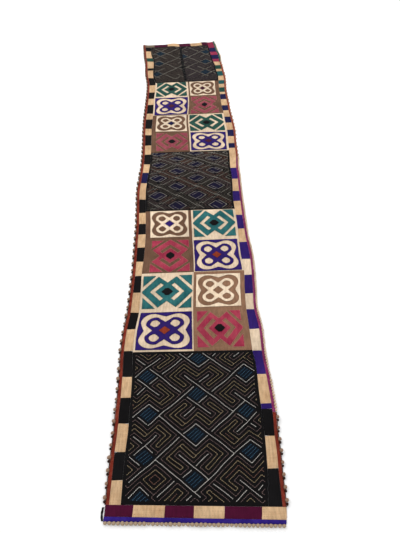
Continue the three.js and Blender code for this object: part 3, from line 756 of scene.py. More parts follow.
# %% One bobble
BALL_SQUASH = 0.86
# The cord's dark brown is partly its own dye and partly painted shadow round the bobbles.
cord_and_shadow_paint = raffia("bobble_cord", (44, 26, 22), (88, 58, 48), streak=0.6, blotch=0.6, shade=0.5)
bobble_paint = raffia("bobble_raffia", (166, 128, 104), (222, 186, 158), streak=0.6, blotch=0.6,
                      shade=0.5)
pale_bobble = raffia("bobble_pale", (186, 156, 124), (232, 206, 176), streak=0.6, blotch=0.6,
                     shade=0.4)
bpy.ops.object.select_all(action="DESELECT")
bpy.ops.mesh.primitive_ico_sphere_add(subdivisions=2, radius=1)
bobble_ball = bpy.context.active_object
bpy.ops.object.mode_set(mode="EDIT")
bpy.ops.mesh.select_all(action="SELECT")
bpy.ops.transform.vertex_random(offset=0.12, seed=4)
bpy.ops.transform.resize(value=(1.0, 1.12, BALL_SQUASH))
bpy.ops.object.mode_set(mode="OBJECT")
ball_points = points_of(bobble_ball)
ball_faces = np.array([p.vertices[:] for p in bobble_ball.data.polygons])
bpy.data.objects.remove(bobble_ball)
print("faces of a bobble", len(ball_faces))


# %% [markdown]
# A row follows the outside of an edge line. The places are even along that path, and size and turn
# vary a little from a fixed seed, so that the row is the same in every run.

# %% Rows of bobbles
def repeated(faces, count, points_each):
    """The faces of count copies of one shape."""
    return (faces[None] + (np.arange(count) * points_each)[:, None, None]).reshape(-1, 3)


def array_mesh(name, points, faces, paints, paint_index=None, uv=None):
    """One joined mesh from arrays of points and faces."""
    mesh = bpy.data.meshes.new(name)
    mesh.from_pydata(points.tolist(), [], faces.tolist())
    piece = bpy.data.objects.new(name, mesh)
    bpy.context.collection.objects.link(piece)
    for paint in paints:
        mesh.materials.append(paint)
    if paint_index is not None:
        mesh.polygons.foreach_set("material_index", paint_index)
    write_uv(piece, *(uv if uv is not None else (points[:, 0] + 1, points[:, 1] + 2)))
    mesh.polygons.foreach_set("use_smooth", np.ones(len(faces), bool))
    mesh.update()
    return piece


def run_along(path):
    """How far along a path each of its points lies."""
    return np.concatenate([[0], np.cumsum(np.linalg.norm(np.diff(path, axis=0), axis=1))])


def outer_path(edge, near, far, outside, count, first=0.5):
    """count points spaced evenly outside an edge line, with their height and heading."""
    v = np.linspace(near, far, 900)
    end, out = edge_and_way_out(edge, v)
    height = floor_side(v, end[:, 0], end[:, 1])
    path = end + out * outside
    run = run_along(path)
    at = (np.arange(count) + first) / count * run[-1]
    x, y, z = (np.interp(at, run, values) for values in (path[:, 0], path[:, 1], height))
    heading = np.interp(at, run, np.arctan2(np.gradient(path[:, 1]), np.gradient(path[:, 0])))
    return x, y, z, heading


def bobble_row(name, x, y, z, heading, radius, paint=bobble_paint):
    """A ball at each place, lying on the floor side at height z."""
    rng = np.random.default_rng(len(x))
    count = len(x)
    turn = heading - math.pi / 2 + rng.normal(0, 0.5, count)
    size = radius * (1 + rng.normal(0, 0.12, count).clip(-0.2, 0.12))
    cos, sin = np.cos(turn)[:, None], np.sin(turn)[:, None]
    px, py, pz = (ball_points[None, :, k] * size[:, None] for k in range(3))
    gx = x[:, None] + px * cos - py * sin
    gy = y[:, None] + px * sin + py * cos
    gz = z[:, None] + pz + size[:, None] * BALL_SQUASH + 0.1
    points = to_frame(gx, gy, gz).reshape(-1, 3)
    return array_mesh(name, points, repeated(ball_faces, count, len(ball_points)), [paint])


print("points of a bobble", len(ball_points))

# %% [markdown]
# Each row hangs on a thin cord sewn to the edge. The cord is a grid rolled up round its length:
# its two long edges meet, are merged there, and the ends are filled, so that the tube is closed.

# %% Cords with their bobbles
CORD_GAP, CORD_WIDTH, CORD_HEIGHT = 0.3, 2.5, 2.4
CORD_SIDES = 8


def close_tube(piece, paint):
    """Merges the long edges of a rolled grid, fills its ends and paints it."""
    bpy.ops.object.mode_set(mode="EDIT")
    bpy.ops.mesh.select_all(action="SELECT")
    bpy.ops.mesh.remove_doubles(threshold=0.00005)
    bpy.ops.mesh.select_all(action="DESELECT")
    bpy.ops.mesh.select_non_manifold()
    bpy.ops.mesh.fill()
    bpy.ops.mesh.select_all(action="SELECT")
    bpy.ops.mesh.normals_make_consistent(inside=False)
    bpy.ops.object.mode_set(mode="OBJECT")
    piece.data.materials.append(paint)
    return smooth(piece, 60)


def bobble_cord(name, edge, near, far):
    """The thin cord that carries a row of bobbles along an edge."""
    piece = new_grid(name, CORD_SIDES, int((far - near) * 10))
    grid = points_of(piece)
    v = near + (far - near) * (grid[:, 1] + 0.5)
    end, out = edge_and_way_out(edge, v)
    side = 1 if edge == "edge_left" else -1
    around = side * (grid[:, 0] + 0.5) * 2 * math.pi
    reach = CORD_GAP + CORD_WIDTH / 2 * (1 + np.cos(around))
    spot = end + out * reach[:, None]
    z = floor_side(v, end[:, 0], end[:, 1]) + CORD_HEIGHT / 2 * (1 + np.sin(around))
    place_points(piece, to_frame(spot[:, 0], spot[:, 1], z))
    write_uv(piece, (grid[:, 0] + 0.5) * 0.008, (spot[:, 1] - MIDDLE_Y) / 1000 + 2)
    return close_tube(piece, cord_and_shadow_paint)


BOBBLE_REACH = 0.8
KNOT_AND_SHADOW_SHARE = 0.72
# Node, edge line, near and far cross line, number of bobbles and their radius in millimetres.
BOBBLE_TABLE = (
    ("bobbles_left_near", "edge_left", "near_panel", "near_block_3", 23, 6.2),
    ("bobbles_left_middle", "edge_left", "near_block_3", "far_panel", 42, 6.2),
    ("bobbles_left_far", "edge_left", "far_panel", "far_edge", 15, 6.2),
    ("bobbles_right", "edge_right", "near_panel", "magenta_start", 8, 5.6),
)
bobbles = {}
for node, edge, near, far, count, radius in BOBBLE_TABLE:
    near, far, outside = row_at[near], row_at[far], CORD_GAP + CORD_WIDTH + BOBBLE_REACH
    balls = bobble_row(node + "_balls", *outer_path(edge, near, far, outside, count), radius)
    # Painted shadow: a smaller ball of the dark cord cloth stands beside each bobble, as a dark knot and as
    # the bobble's shadow.
    between_balls = outer_path(edge, near, far, outside, count, 0.2)
    knots_and_shadows = bobble_row(node + "_knots", *between_balls, KNOT_AND_SHADOW_SHARE * radius, cord_and_shadow_paint)
    bobbles[node] = join("knotted_" + node, [bobble_cord("cord", edge, near, far), balls, knots_and_shadows])
print("bobble rows", {k: len(p.data.polygons) for k, p in bobbles.items()})

# %% [markdown]
# On the magenta, orange and blue-green bindings the bobbles are smaller and sit on the binding
# itself, without a cord. Those of the near hem touch each other and make a band.

# %% Bobbles worked onto the right bindings
# Name, near and far cross line, number of bobbles, their radius and reach in millimetres.
PICOT_TABLE = (
    ("picots_magenta", "magenta_start", "orange_start", 130, 4.6, 1.2),
    ("picots_orange", "orange_start", "teal_start", 29, 4.7, 1.0),
    ("picots_teal", "teal_start", "far_edge", 15, 4.7, 1.0),
)
for name, near, far, count, radius, reach in PICOT_TABLE:
    path = outer_path("edge_right", row_at[near], row_at[far], reach, count)
    bobbles[name] = bobble_row(name, *path, radius, pale_bobble)
print("bobbles on the right", sum(row[3] for row in PICOT_TABLE))

# %% [markdown]
# The near hem's bobbles are spaced by even shares of the near edge, and their cord is a tube again.

# %% The band of bobbles at the near hem
NEAR_COUNT, NEAR_RADIUS, NEAR_REACH = 42, 5.6, 1.4


def near_line(share):
    return between("edge_left", "edge_right", np.full(len(share), float(row_at["near_edge"])), share)


spot = near_line((np.arange(NEAR_COUNT) + 0.5) / NEAR_COUNT)
level = np.zeros(NEAR_COUNT)
near_balls = bobble_row("near_balls", spot[:, 0], spot[:, 1] - CORD_WIDTH - NEAR_REACH, level, level,
                        NEAR_RADIUS, pale_bobble)
near_cord = new_grid("near_cord", CORD_SIDES, 60)
grid = points_of(near_cord)
spot = near_line(grid[:, 1] + 0.5)
around = (grid[:, 0] + 0.5) * 2 * math.pi
place_points(near_cord, to_frame(spot[:, 0], spot[:, 1] - CORD_WIDTH / 2 * (1 + np.cos(around)) - 0.1,
                                 CORD_HEIGHT / 2 * (1 + np.sin(around))))
write_uv(near_cord, (grid[:, 0] + 0.5) * 0.008, spot[:, 0] / 1000 + 1)
bobbles["bobbles_near"] = join("knotted_bobbles_near", [close_tube(near_cord, pale_bobble), near_balls])
print("all bobble pieces", len(bobbles))

# %% [markdown]
# ## The cut motifs
#
# Every block carries a motif cut from dyed cloth: a frame of four lobes round a knot with four
# holes, or a pointed star with open chevrons. Booleans could cut them, but an outline is simpler: each
# edge is a ring that starts as a circle primitive, its points are moved onto the outline, and
# Fill closes the cloth between the outer ring and the rings of its holes. A hand cuts a little
# unevenly, so each outline wobbles in its own way.

# %% Outlines of the motifs, in shares of a block
KNOT_FRAME = {"lobe": 0.235, "radius": 0.225, "notch": 0.385, "sweep": 118}
KNOT_LOOPS = {"lobe": 0.185, "radius": 0.17, "notch": 0.225, "sweep": 118}
KNOT_HOLE_RADIUS, KNOT_HOLE_PLACE, KNOT_HEART = 0.096, 0.186, 0.122
HOLE_STEPS, LOBE_STEPS = 28, 16
STAR_POINTS = ((0.5, 0.02), (0.18, 0.455), (0.0, 0.27))
STAR_CHEVRON = ((0.345, 0.0), (0.14, 0.265), (0.075, 0.2), (0.24, 0.0))
STAR_EYE = {"width": 0.23, "depth": 0.2, "blunt": 0.3}
STAR_CORNER = {"width": 0.25, "depth": 0.32, "inset": 0.015}


def ring_diamond(radius):
    angle = np.arange(4) / 4 * 2 * math.pi
    return stepped(np.stack([0.5 + radius * np.cos(angle), 0.5 + radius * np.sin(angle)], axis=1), 0.02)


def ring_petal(x, y, radius):
    """A hole of the knot: round on its outer side, with soft corners towards the heart."""
    angle = np.arange(HOLE_STEPS) / HOLE_STEPS * 2 * math.pi
    cos, sin = np.cos(angle), np.sin(angle)
    power = 1.62 + 0.25 * (cos * np.sign(x - 0.5) + sin * np.sign(y - 0.5))
    reach = radius / (np.abs(cos) ** power + np.abs(sin) ** power) ** (1 / power)
    return np.stack([x + reach * cos, y + reach * sin], axis=1)


def ring_lobed(lobe, radius, notch, sweep):
    """Four lobes with a notch between each two."""
    points = []
    for quarter in range(4):
        turn = quarter * math.pi / 2
        spots = [(notch, 0.0)]
        for step in range(LOBE_STEPS + 1):
            angle = math.radians(45 + sweep * (step / LOBE_STEPS - 0.5))
            spots.append((lobe + radius * math.cos(angle), lobe + radius * math.sin(angle)))
        for x, y in spots:
            points.append((0.5 + x * math.cos(turn) - y * math.sin(turn),
                           0.5 + x * math.sin(turn) + y * math.cos(turn)))
    return np.array(points)


def mirrored(quarter):
    """A quarter outline and its three mirror images, as one ring."""
    back_right = list(quarter)
    back_left = [(-x, y) for x, y in quarter if x > 0][::-1]
    front_left = [(x, -y) for x, y in back_left][::-1]
    front_right = [(x, -y) for x, y in back_right][::-1]
    return 0.5 + np.array(back_right + back_left + front_left + front_right)


def stepped(ring, step=0.03):
    """The ring again with points close together along its straight sides."""
    points = []
    for here, there in zip(ring, np.roll(ring, -1, axis=0)):
        count = max(1, int(np.ceil(np.linalg.norm(there - here) / step)))
        points += [here + (there - here) * k / count for k in range(count)]
    return np.array(points)


def frame_rings():
    return [stepped(np.array([(0, 0), (1, 0), (1, 1), (0, 1)], float)), stepped(ring_lobed(**KNOT_FRAME))]


def loop_rings(open_heart):
    rings = [stepped(ring_lobed(**KNOT_LOOPS))]
    for sx, sy in ((-1, -1), (1, -1), (1, 1), (-1, 1)):
        rings.append(ring_petal(0.5 + sx * KNOT_HOLE_PLACE, 0.5 + sy * KNOT_HOLE_PLACE, KNOT_HOLE_RADIUS))
    if open_heart:
        rings.append(ring_diamond(KNOT_HEART))
    return rings


def star_rings():
    rings = [stepped(mirrored(STAR_POINTS))]
    for side in (-1, 1):
        upper = [(0.5 + side * x, 0.5 + y) for x, y in STAR_CHEVRON]
        lower = [(0.5 + side * x, 0.5 - y) for x, y in STAR_CHEVRON[1:3]]
        rings.append(stepped(np.array(upper + lower[::-1])))
    return rings


def eye_rings():
    w, d, b = STAR_EYE["width"] / 2, STAR_EYE["depth"] / 2, STAR_EYE["blunt"]
    return [stepped(0.5 + np.array([(w, 0), (w * b, d), (-w * b, d), (-w, 0), (-w * b, -d), (w * b, -d)]))]


def corner_rings(side, back):
    """A corner patch: a triangle whose square corner is that of the block."""
    w, d, i = STAR_CORNER["width"], STAR_CORNER["depth"], STAR_CORNER["inset"]
    ring = np.array([(i, i), (i + w, i), (i, i + d)])
    if side == "right":
        ring[:, 0] = 1 - ring[:, 0]
    if back:
        ring[:, 1] = 1 - ring[:, 1]
    return [stepped(ring)]


print("lobed outline", len(ring_lobed(**KNOT_LOOPS)), "points")

# %% [markdown]
# Each block is a row of a table: its column, its two cross lines, its motif, and how far the
# motif stays from the left, right, front and back of the block in millimetres. Two of the stars
# are turned by a quarter.

# %% The sixteen blocks
BLOCK_COLUMNS = ("name", "side", "near", "far", "motif", "left", "right", "front", "back", "turned")
BLOCK_TABLE = (
    ("near_left_1", "left", "near_block_1", "near_block_2", "blue_knot", 9, 6, 10, 9, False),
    ("near_left_2", "left", "near_block_2", "near_block_3", "green_star", 7, 5, 8, 14, False),
    ("near_left_3", "left", "near_block_3", "near_block_4", "pink_star", 31, 16, 3, 6, True),
    ("near_left_4", "left", "near_block_4", "middle_panel", "beige_knot", 24, 15, 12, 3, False),
    ("near_right_1", "right", "near_block_1", "near_block_2", "pink_star", 13, 26, 15, 8, False),
    ("near_right_2", "right", "near_block_2", "near_block_3", "beige_knot", 12, 20, 11, 16, False),
    ("near_right_3", "right", "near_block_3", "near_block_4", "blue_knot", 6, 9, 3, 14, False),
    ("near_right_4", "right", "near_block_4", "middle_panel", "green_star", 7, 9, 5, 3, False),
    ("far_left_1", "left", "far_block_1", "far_block_2", "pink_star", 27, 9, 12, 12, False),
    ("far_left_2", "left", "far_block_2", "far_block_3", "beige_knot", 25, 11, 4, 8, False),
    ("far_left_3", "left", "far_block_3", "far_block_4", "blue_knot", 10, 8, 3, 8, False),
    ("far_left_4", "left", "far_block_4", "far_panel", "green_star", 8, 11, 8, 3, False),
    ("far_right_1", "right", "far_block_1", "far_block_2", "blue_knot", 9, 13, 8, 10, False),
    ("far_right_2", "right", "far_block_2", "far_block_3", "green_star", 6, 9, 4, 8, False),
    ("far_right_3", "right", "far_block_3", "far_block_4", "pink_star", 14, 24, 4, 5, True),
    ("far_right_4", "right", "far_block_4", "far_panel", "beige_knot", 10, 27, 8, 6, False),
)
HEARTS = {"near_left_1": "rust", "near_right_3": "rust", "far_left_3": "plum", "far_right_1": "plum",
          "near_left_4": "blue", "far_left_2": "navy", "far_right_4": "plum"}
blocks = [dict(zip(BLOCK_COLUMNS, row)) for row in BLOCK_TABLE]
APPLIQUE_BASE, APPLIQUE_THICKNESS, APPLIQUE_ROUNDING = 1.9, 1.0, 0.35
print("blocks", len(blocks), "hearts", len(HEARTS))

# %% [markdown]
# Cutting means filling between rings. The rings are given in shares of a block and moved to the
# block's place between its long lines, so a motif bends with the cloth under it.

# %% Cut a motif and lay it on its block
def on_block(block, shares):
    """Floor millimetres of points given in shares of a block's motif."""
    left, right = column_lines(block["side"])
    near, far = row_at[block["near"]], row_at[block["far"]]
    depth = float(np.linalg.norm(lane(left, far) - lane(left, near)))
    x, y = shares[:, 0], shares[:, 1]
    across, along = (y, 1 - x) if block["turned"] else (x, y)
    share = (block["front"] + along * (depth - block["front"] - block["back"])) / depth
    v = near + (far - near) * share
    return between(left, right, v, across, block["left"], block["right"])


def wobbled(ring, seed, amount):
    """The ring with slow bumps in and out along it, as a hand would cut it."""
    rng = np.random.default_rng(seed)
    turn = np.arange(len(ring)) / len(ring) * 2 * math.pi
    push = np.zeros((len(ring), 2))
    for waves in (3, 5, 8, 13):
        push += rng.normal(0, 1, 2) * np.sin(turn * waves + rng.uniform(0, 6.3))[:, None] / waves ** 0.5
    return ring + push * amount * 0.5


def cut_cloth(name, block, rings, paint, base, seed, wobble=0.006):
    """A piece of cloth between its outer ring and the rings of its holes, its outlines and area."""
    made, outlines = [], []
    for number, ring in enumerate(rings):
        ring = wobbled(ring, seed + number, wobble)
        spots = on_block(block, ring)
        z = base + ripple(spots[:, 0], spots[:, 1])
        bpy.ops.object.select_all(action="DESELECT")
        bpy.ops.mesh.primitive_circle_add(vertices=len(ring), fill_type="NOTHING")
        edge = bpy.context.active_object
        place_points(edge, to_frame(spots[:, 0], spots[:, 1], z + APPLIQUE_THICKNESS))
        made.append(edge)
        outlines.append(spots)
    piece = join(name, made)
    bpy.ops.object.mode_set(mode="EDIT")
    bpy.ops.mesh.select_all(action="SELECT")
    bpy.ops.mesh.fill(use_beauty=True)
    bpy.ops.mesh.normals_make_consistent(inside=False)
    bpy.ops.object.mode_set(mode="OBJECT")
    if sum(p.normal.z for p in piece.data.polygons) < 0:
        bpy.ops.object.mode_set(mode="EDIT")
        bpy.ops.mesh.flip_normals()
        bpy.ops.object.mode_set(mode="OBJECT")
    points = points_of(piece)
    write_uv(piece, points[:, 0] + 1, points[:, 1] + 2)
    area = sum(p.area for p in piece.data.polygons)
    piece.data.materials.clear()
    piece.data.materials.append(paint)
    apply_modifier(piece, "SOLIDIFY", thickness=(APPLIQUE_THICKNESS - 0.1) / 1000, offset=-1)
    apply_modifier(piece, "BEVEL", width=APPLIQUE_ROUNDING / 1000, segments=2, limit_method="ANGLE",
                   angle_limit=math.radians(50))
    return smooth(piece, 40), outlines, area


motif_cloth = {
    "blue": raffia("applique_blue", (38, 22, 92), (54, 36, 108), shade=0.3),
    "green": raffia("applique_green", (20, 78, 82), (66, 128, 126), streak=0.3, blotch=0.4, shade=0.3),
    "pink": raffia("applique_pink", (142, 34, 62), (192, 84, 98), streak=0.3, blotch=0.45, shade=0.3),
    "beige": raffia("applique_undyed", (214, 190, 160), (240, 222, 198), streak=0.5, blotch=0.5,
                    shade=0.25),
    "green_far": raffia("applique_deep_green", (24, 62, 56), (60, 102, 88), streak=0.3, blotch=0.4,
                        shade=0.3),
    "pink_far": raffia("applique_dusty_pink", (122, 44, 60), (170, 96, 102), streak=0.3, blotch=0.45,
                       shade=0.3),
}


EYE_RISE, HEART_RISE = 1.3, 1.1


def motif_colour(block):
    return block["motif"].split("_")[0]


def star_cloth(block):
    """The cloth of a star: the far group's dyes are duller."""
    return motif_cloth[motif_colour(block) + ("_far" if "far" in block["name"] else "")]


def motif_parts(block):
    """Prefix, rings, cloth, height, seed and thread colour of each piece of a motif."""
    colour = motif_colour(block)
    if block["motif"].endswith("knot"):
        return (("frame_", frame_rings(), motif_cloth[colour], APPLIQUE_BASE, 0, colour),
                ("loops_", loop_rings(colour == "beige"), motif_cloth[colour], APPLIQUE_BASE, 10, colour))
    return (("star_", star_rings(), star_cloth(block), APPLIQUE_BASE, 0, colour),
            ("eye_", eye_rings(), cloth["ink"], APPLIQUE_BASE + EYE_RISE, 20, "ink"))


motifs, trims = {}, []
for number, block in enumerate(blocks):
    for prefix, rings, paint, base, seed, trim in motif_parts(block):
        node = prefix + block["name"]
        motifs[node] = cut_cloth("cut_" + node, block, rings, paint, base, 40 * number + seed)
        trims.append((trim, motifs[node][1]))
print("motif pieces", len(motifs))

# %% [markdown]
# Each star has a patch in every corner of its block, and most knots have a small diamond of
# another colour in their heart: over a blue knot, and in the open heart of a beige one.

# %% Corner patches and hearts
HEART_PLACE = {"blue": (0.108, APPLIQUE_BASE + HEART_RISE), "beige": (0.13, APPLIQUE_BASE - 0.15)}
small_patches = {}
for number, block in enumerate(blocks):
    colour = motif_colour(block)
    if block["motif"].endswith("star"):
        for side in ("left", "right"):
            for back in (False, True):
                name = f"corner_{block['name']}_{side}_{'back' if back else 'front'}"
                small_patches[name] = cut_cloth(name, block, corner_rings(side, back), star_cloth(block),
                                                APPLIQUE_BASE, 900 + 7 * number, wobble=0.002)
                trims.append((colour, small_patches[name][1]))
    elif block["name"] in HEARTS:
        name = "heart_" + block["name"]
        radius, over = HEART_PLACE[colour]
        small_patches[name] = cut_cloth(name, block, [ring_diamond(radius)], cloth[HEARTS[block["name"]]],
                                        over, 990 + number, wobble=0.002)
        trims.append(("heart", small_patches[name][1]))
print("corner patches and hearts", len(small_patches))

# %% [markdown]
# ## The dark tail
#
# At the near left corner a short dark tail lies beside the hem.
# It is a small sheet that curves outward a little.

# %% The tail at the corner
TAIL_WIDTH, TAIL_LENGTH, TAIL_THICKNESS = 7, 38, 2.2
TAIL_SET_BACK, TAIL_CLEARANCE, TAIL_BOW = 12, 1.4, 2.5
corner = lane("edge_left", [row_at["near_hem"]])[0]
tail = new_grid("corner_tail", 6, 16)
grid = points_of(tail)
share = grid[:, 1] + 0.5
x = (corner[0] - TAIL_WIDTH / 2 - TAIL_CLEARANCE - TAIL_BOW * np.sin(math.pi * share)
     + grid[:, 0] * TAIL_WIDTH * (1 - 0.12 * np.sin(share * 17)))
y = corner[1] - TAIL_SET_BACK + share * TAIL_LENGTH
crown = TAIL_THICKNESS - 0.9 * (2 * grid[:, 0]) ** 2
finish_sheet(tail, to_frame(x, y, crown + 0.15 * np.sin(share * 40)), grid[:, 0] * TAIL_WIDTH / 1000,
             share * TAIL_LENGTH / 1000, cloth["ink"], 1.0)
print("tail faces", len(tail.data.polygons))

# %% [markdown]
# ## Thread as geometry
#
# The panels carry raised embroidery: rows of short stitches in raffia thread, laid side by side
# along the lines of the pattern. A texture could paint them, but thread stands up from the cloth
# and each stitch catches the light. So one stitch is a small closed spindle with three sides and
# a point at each end, and a row of them is one joined mesh from arrays. Every stitch has its own
# small error in length and direction.

# %% One stitch, and many
SPINDLE_SHOULDER = 0.3
SPINDLE_FACES = np.array([
    (0, 2, 1), (0, 3, 2), (0, 1, 3),
    (1, 2, 5), (1, 5, 4), (2, 3, 6), (2, 6, 5), (3, 1, 4), (3, 4, 6),
    (7, 4, 5), (7, 5, 6), (7, 6, 4)])
WIDTH_ERROR, PLACE_ERROR, END_ERROR = 0.07, 0.12, 0.18


def stitch_mesh(name, start, end, z, width, paints, paint_index, seed, rise):
    """Spindles from start to end (floor mm, n x 2), standing on height z."""
    rng = np.random.default_rng(seed)
    count = len(start)
    width = np.broadcast_to(width, count) * (1 + rng.normal(0, WIDTH_ERROR, count))
    shift = rng.normal(0, PLACE_ERROR, (count, 2))
    start, end = start + shift, end + shift + rng.normal(0, END_ERROR, (count, 2))
    run = end - start
    side = np.stack([-run[:, 1], run[:, 0]], axis=1) / np.linalg.norm(run, axis=1, keepdims=True)
    ring = np.array([(-0.5, 0.0), (0.5, 0.0), (0.0, 1.0)])
    points = np.zeros((count, 8, 3))
    for corner, along in ((0, 0.0), (7, 1.0)):
        points[:, corner, :2] = start + run * along
        points[:, corner, 2] = z
    for first, along in ((1, SPINDLE_SHOULDER), (4, 1 - SPINDLE_SHOULDER)):
        for k, (across, up) in enumerate(ring):
            points[:, first + k, :2] = start + run * along + side * (across * width)[:, None]
            points[:, first + k, 2] = z + up * width * rise
    flat = points.reshape(-1, 3)
    index = np.repeat(np.asarray(paint_index, int), len(SPINDLE_FACES))
    uv_along = (np.arange(count)[:, None] * 0.013 + np.array([0, .3, .3, .3, .7, .7, .7, 1]) * 0.006).ravel()
    uv_across = np.tile(np.array([0.5, 0, 1, 0.5, 0, 1, 0.5, 0.5]) * 0.002, count)
    return array_mesh(name, to_frame(flat[:, 0], flat[:, 1], flat[:, 2]), repeated(SPINDLE_FACES, count, 8),
                      paints, index, (uv_across, uv_along))


def thread(name, colour, worn):
    """Twisted raffia thread, lighter where it is worn."""
    n = Nodes(name, 0.7)
    place = n.add("ShaderNodeTexCoord").outputs["UV"]
    tone = n.mix(n.spread(n.noise(place, 90.0, 3.0), 0.4, 0.62), linear(*colour), linear(*worn))
    return n.finish(tone, n.wave(place, 0.0009, "DIAGONAL"), 0.0002)


print("faces of a stitch", len(SPINDLE_FACES))

# %% [markdown]
# A stitch has to lie on the folds of the cloth, so its row place is needed. The long lines give a
# point for a row place and not the other way round, so the row place is found by halving.

# %% The row place of any point
HALVINGS = 22


def row_of(x, y):
    """Row places whose cross lines pass through the points."""
    low, high = np.zeros(len(x)), np.full(len(x), float(LAST_ROW))
    for _ in range(HALVINGS):
        middle = (low + high) / 2
        start, end = lane("seam_left", middle), lane("seam_right", middle)
        line = start[:, 1] + (x - start[:, 0]) / (end[:, 0] - start[:, 0]) * (end[:, 1] - start[:, 1])
        low, high = np.where(line < y, middle, low), np.where(line < y, high, middle)
    return (low + high) / 2


print("row place of the middle", row_of(np.array([0.0]), np.array([1800.0])).round(2).tolist())

# %% [markdown]
# ## The pattern of the panels
#
# Kuba embroidery is built on a slanting lattice. The embroiderer sets a few leading lines and
# diamonds first and then fills the field with threads that follow them at even steps, so the
# rows turn wherever two leading lines meet. Tracing hundreds of threads would be slow and dull.
# The same rule does it here: the leading lines are charted, every crossing of the lattice
# gets its distance from them, and threads join the crossings that lie equally far away.

# %% Threads that follow the leading lines
MOST_ROWS, UNREACHED = 30, 99


def lattice_steps(leads, boxes, low, high):
    """Unit threads (a, b, towards_a, level) round the leading lines of a lattice."""
    size = high - low
    level = np.full((size, size), UNREACHED)
    for a0, b0, a1, b1 in leads:
        for a in range(math.ceil(min(a0, a1)), math.floor(max(a0, a1)) + 1):
            for b in range(math.ceil(min(b0, b1)), math.floor(max(b0, b1)) + 1):
                if 0 <= a - low < size and 0 <= b - low < size:
                    level[a - low, b - low] = 0
    for reach in range(1, MOST_ROWS):
        wide = np.pad(level < reach, 1)
        grown = np.zeros_like(level, bool)
        for i in range(3):
            for j in range(3):
                grown |= wide[i:i + size, j:j + size]
        level[(level == UNREACHED) & grown] = reach
    inside = np.zeros_like(level, bool)
    for a, b, span in boxes:
        inside[max(a - low + 1, 0):max(a - low + span, 0), max(b - low + 1, 0):max(b - low + span, 0)] = True
    steps = []
    for along in (1, 0):
        i, j = np.meshgrid(np.arange(1, size - 2), np.arange(1, size - 2), indexing="ij")
        here, there = level[i, j], level[i + along, j + 1 - along]
        beside = [np.minimum(level[i + side * (1 - along), j + side * along],
                             level[i + along + side * (1 - along), j + 1 - along + side * along])
                  for side in (-1, 1)]
        covered = inside[i, j] | inside[i + along, j + 1 - along]
        thread_here = (here == there) & (here > 0) & ~covered & (np.minimum(*beside) == here - 1)
        for p, q in zip(*np.nonzero(thread_here)):
            steps.append((low + p + 1, low + q + 1, along, level[p + 1, q + 1]))
    return np.array(steps)


print("threads round one short line", len(lattice_steps([(0, 0, 3, 0)], [], -8, 8)))

# %% [markdown]
# The lattice turns its own counts into millimetres on the floor. Its lines wave a little, as
# hand-sewn ones do, and in the middle panel its rows draw closer towards the far end.

# %% The lattice on a panel
class Lattice:
    """A slanting lattice on a panel: a runs up to the right and b down to the right."""

    def __init__(self, x, y, dx, dy, margin, near, far, wave, close=0.0, sides=("seam_left", "seam_right")):
        self.x, self.y, self.dx, self.dy, self.margin = x, y, dx, dy, margin
        self.near, self.far, self.wave, self.close = near, far, wave, close
        self.left, self.right = sides

    def place(self, a, b):
        a, b = np.asarray(a, float), np.asarray(b, float)
        x, y = self.x + (a + b) * self.dx, self.y + (a - b) * self.dy - self.close * (a - b) ** 2
        return np.stack([x + self.wave * np.sin(y / 31 + x / 90) + 0.6 * self.wave * np.sin(y / 13),
                         y + self.wave * np.sin(x / 27 + y / 80) + 0.6 * self.wave * np.sin(x / 11)], axis=-1)

    def limits(self, spots):
        """The room of the embroidery at each point: left, right, near and far."""
        x, y = spots[:, 0], spots[:, 1]
        v = row_of(x, y)
        left, right = lane(self.left, v)[:, 0], lane(self.right, v)[:, 0]
        share = (x - left) / (right - left)
        ends = [lane(self.left, [row])[0, 1] * (1 - share) + lane(self.right, [row])[0, 1] * share
                for row in (self.near, self.far)]
        m = self.margin
        return left + m, right - m, ends[0] + m, ends[1] - m

    def inside(self, spots):
        """Which of the points lie on the panel, at least the margin away from its seams."""
        left, right, near, far = self.limits(spots)
        x, y = spots[:, 0], spots[:, 1]
        return (x > left) & (x < right) & (y > near) & (y < far)

    def clamp(self, spots):
        left, right, near, far = self.limits(spots)
        return np.stack([np.clip(spots[:, 0], left, right), np.clip(spots[:, 1], near, far)], axis=1)


def panel_top(spots, over):
    x, y = spots[:, 0], spots[:, 1]
    return floor_side(row_of(x, y), x, y) + PANEL_THICKNESS + ripple(x, y) + over


def sew_lattice(name, lattice, threads, paints, pitch, widths, seed):
    """Stitches along lattice threads (a, b, a2, b2, paint). Each thread is cut into stitches."""
    start, end, index, width = [], [], [], []
    for a0, b0, a1, b1, paint in threads:
        ends = lattice.place([a0, a1], [b0, b1])
        count = max(1, int(round(np.linalg.norm(ends[1] - ends[0]) / pitch)))
        share = np.linspace(0, 1, count + 1)
        spots = lattice.place(a0 + (a1 - a0) * share, b0 + (b1 - b0) * share)
        start.append(spots[:-1])
        end.append(spots[1:])
        index += [paint] * count
        width += [widths[0 if paint in LEAD_PAINTS else 1]] * count
    start, end, index, width = np.concatenate(start), np.concatenate(end), np.array(index), np.array(width)
    middle = (start + end) / 2
    keep = lattice.inside(middle)
    start, end, index, width, middle = start[keep], end[keep], index[keep], width[keep], middle[keep]
    spare = np.where(index == 0, 0.02, -0.05)[:, None] * (end - start)
    return stitch_mesh(name, start - spare, end + spare, panel_top(middle, -0.15), width, paints, index,
                       seed, STITCH_RISE)


def stitch_count(place):
    return len(embroidery[place].data.polygons) // len(SPINDLE_FACES)


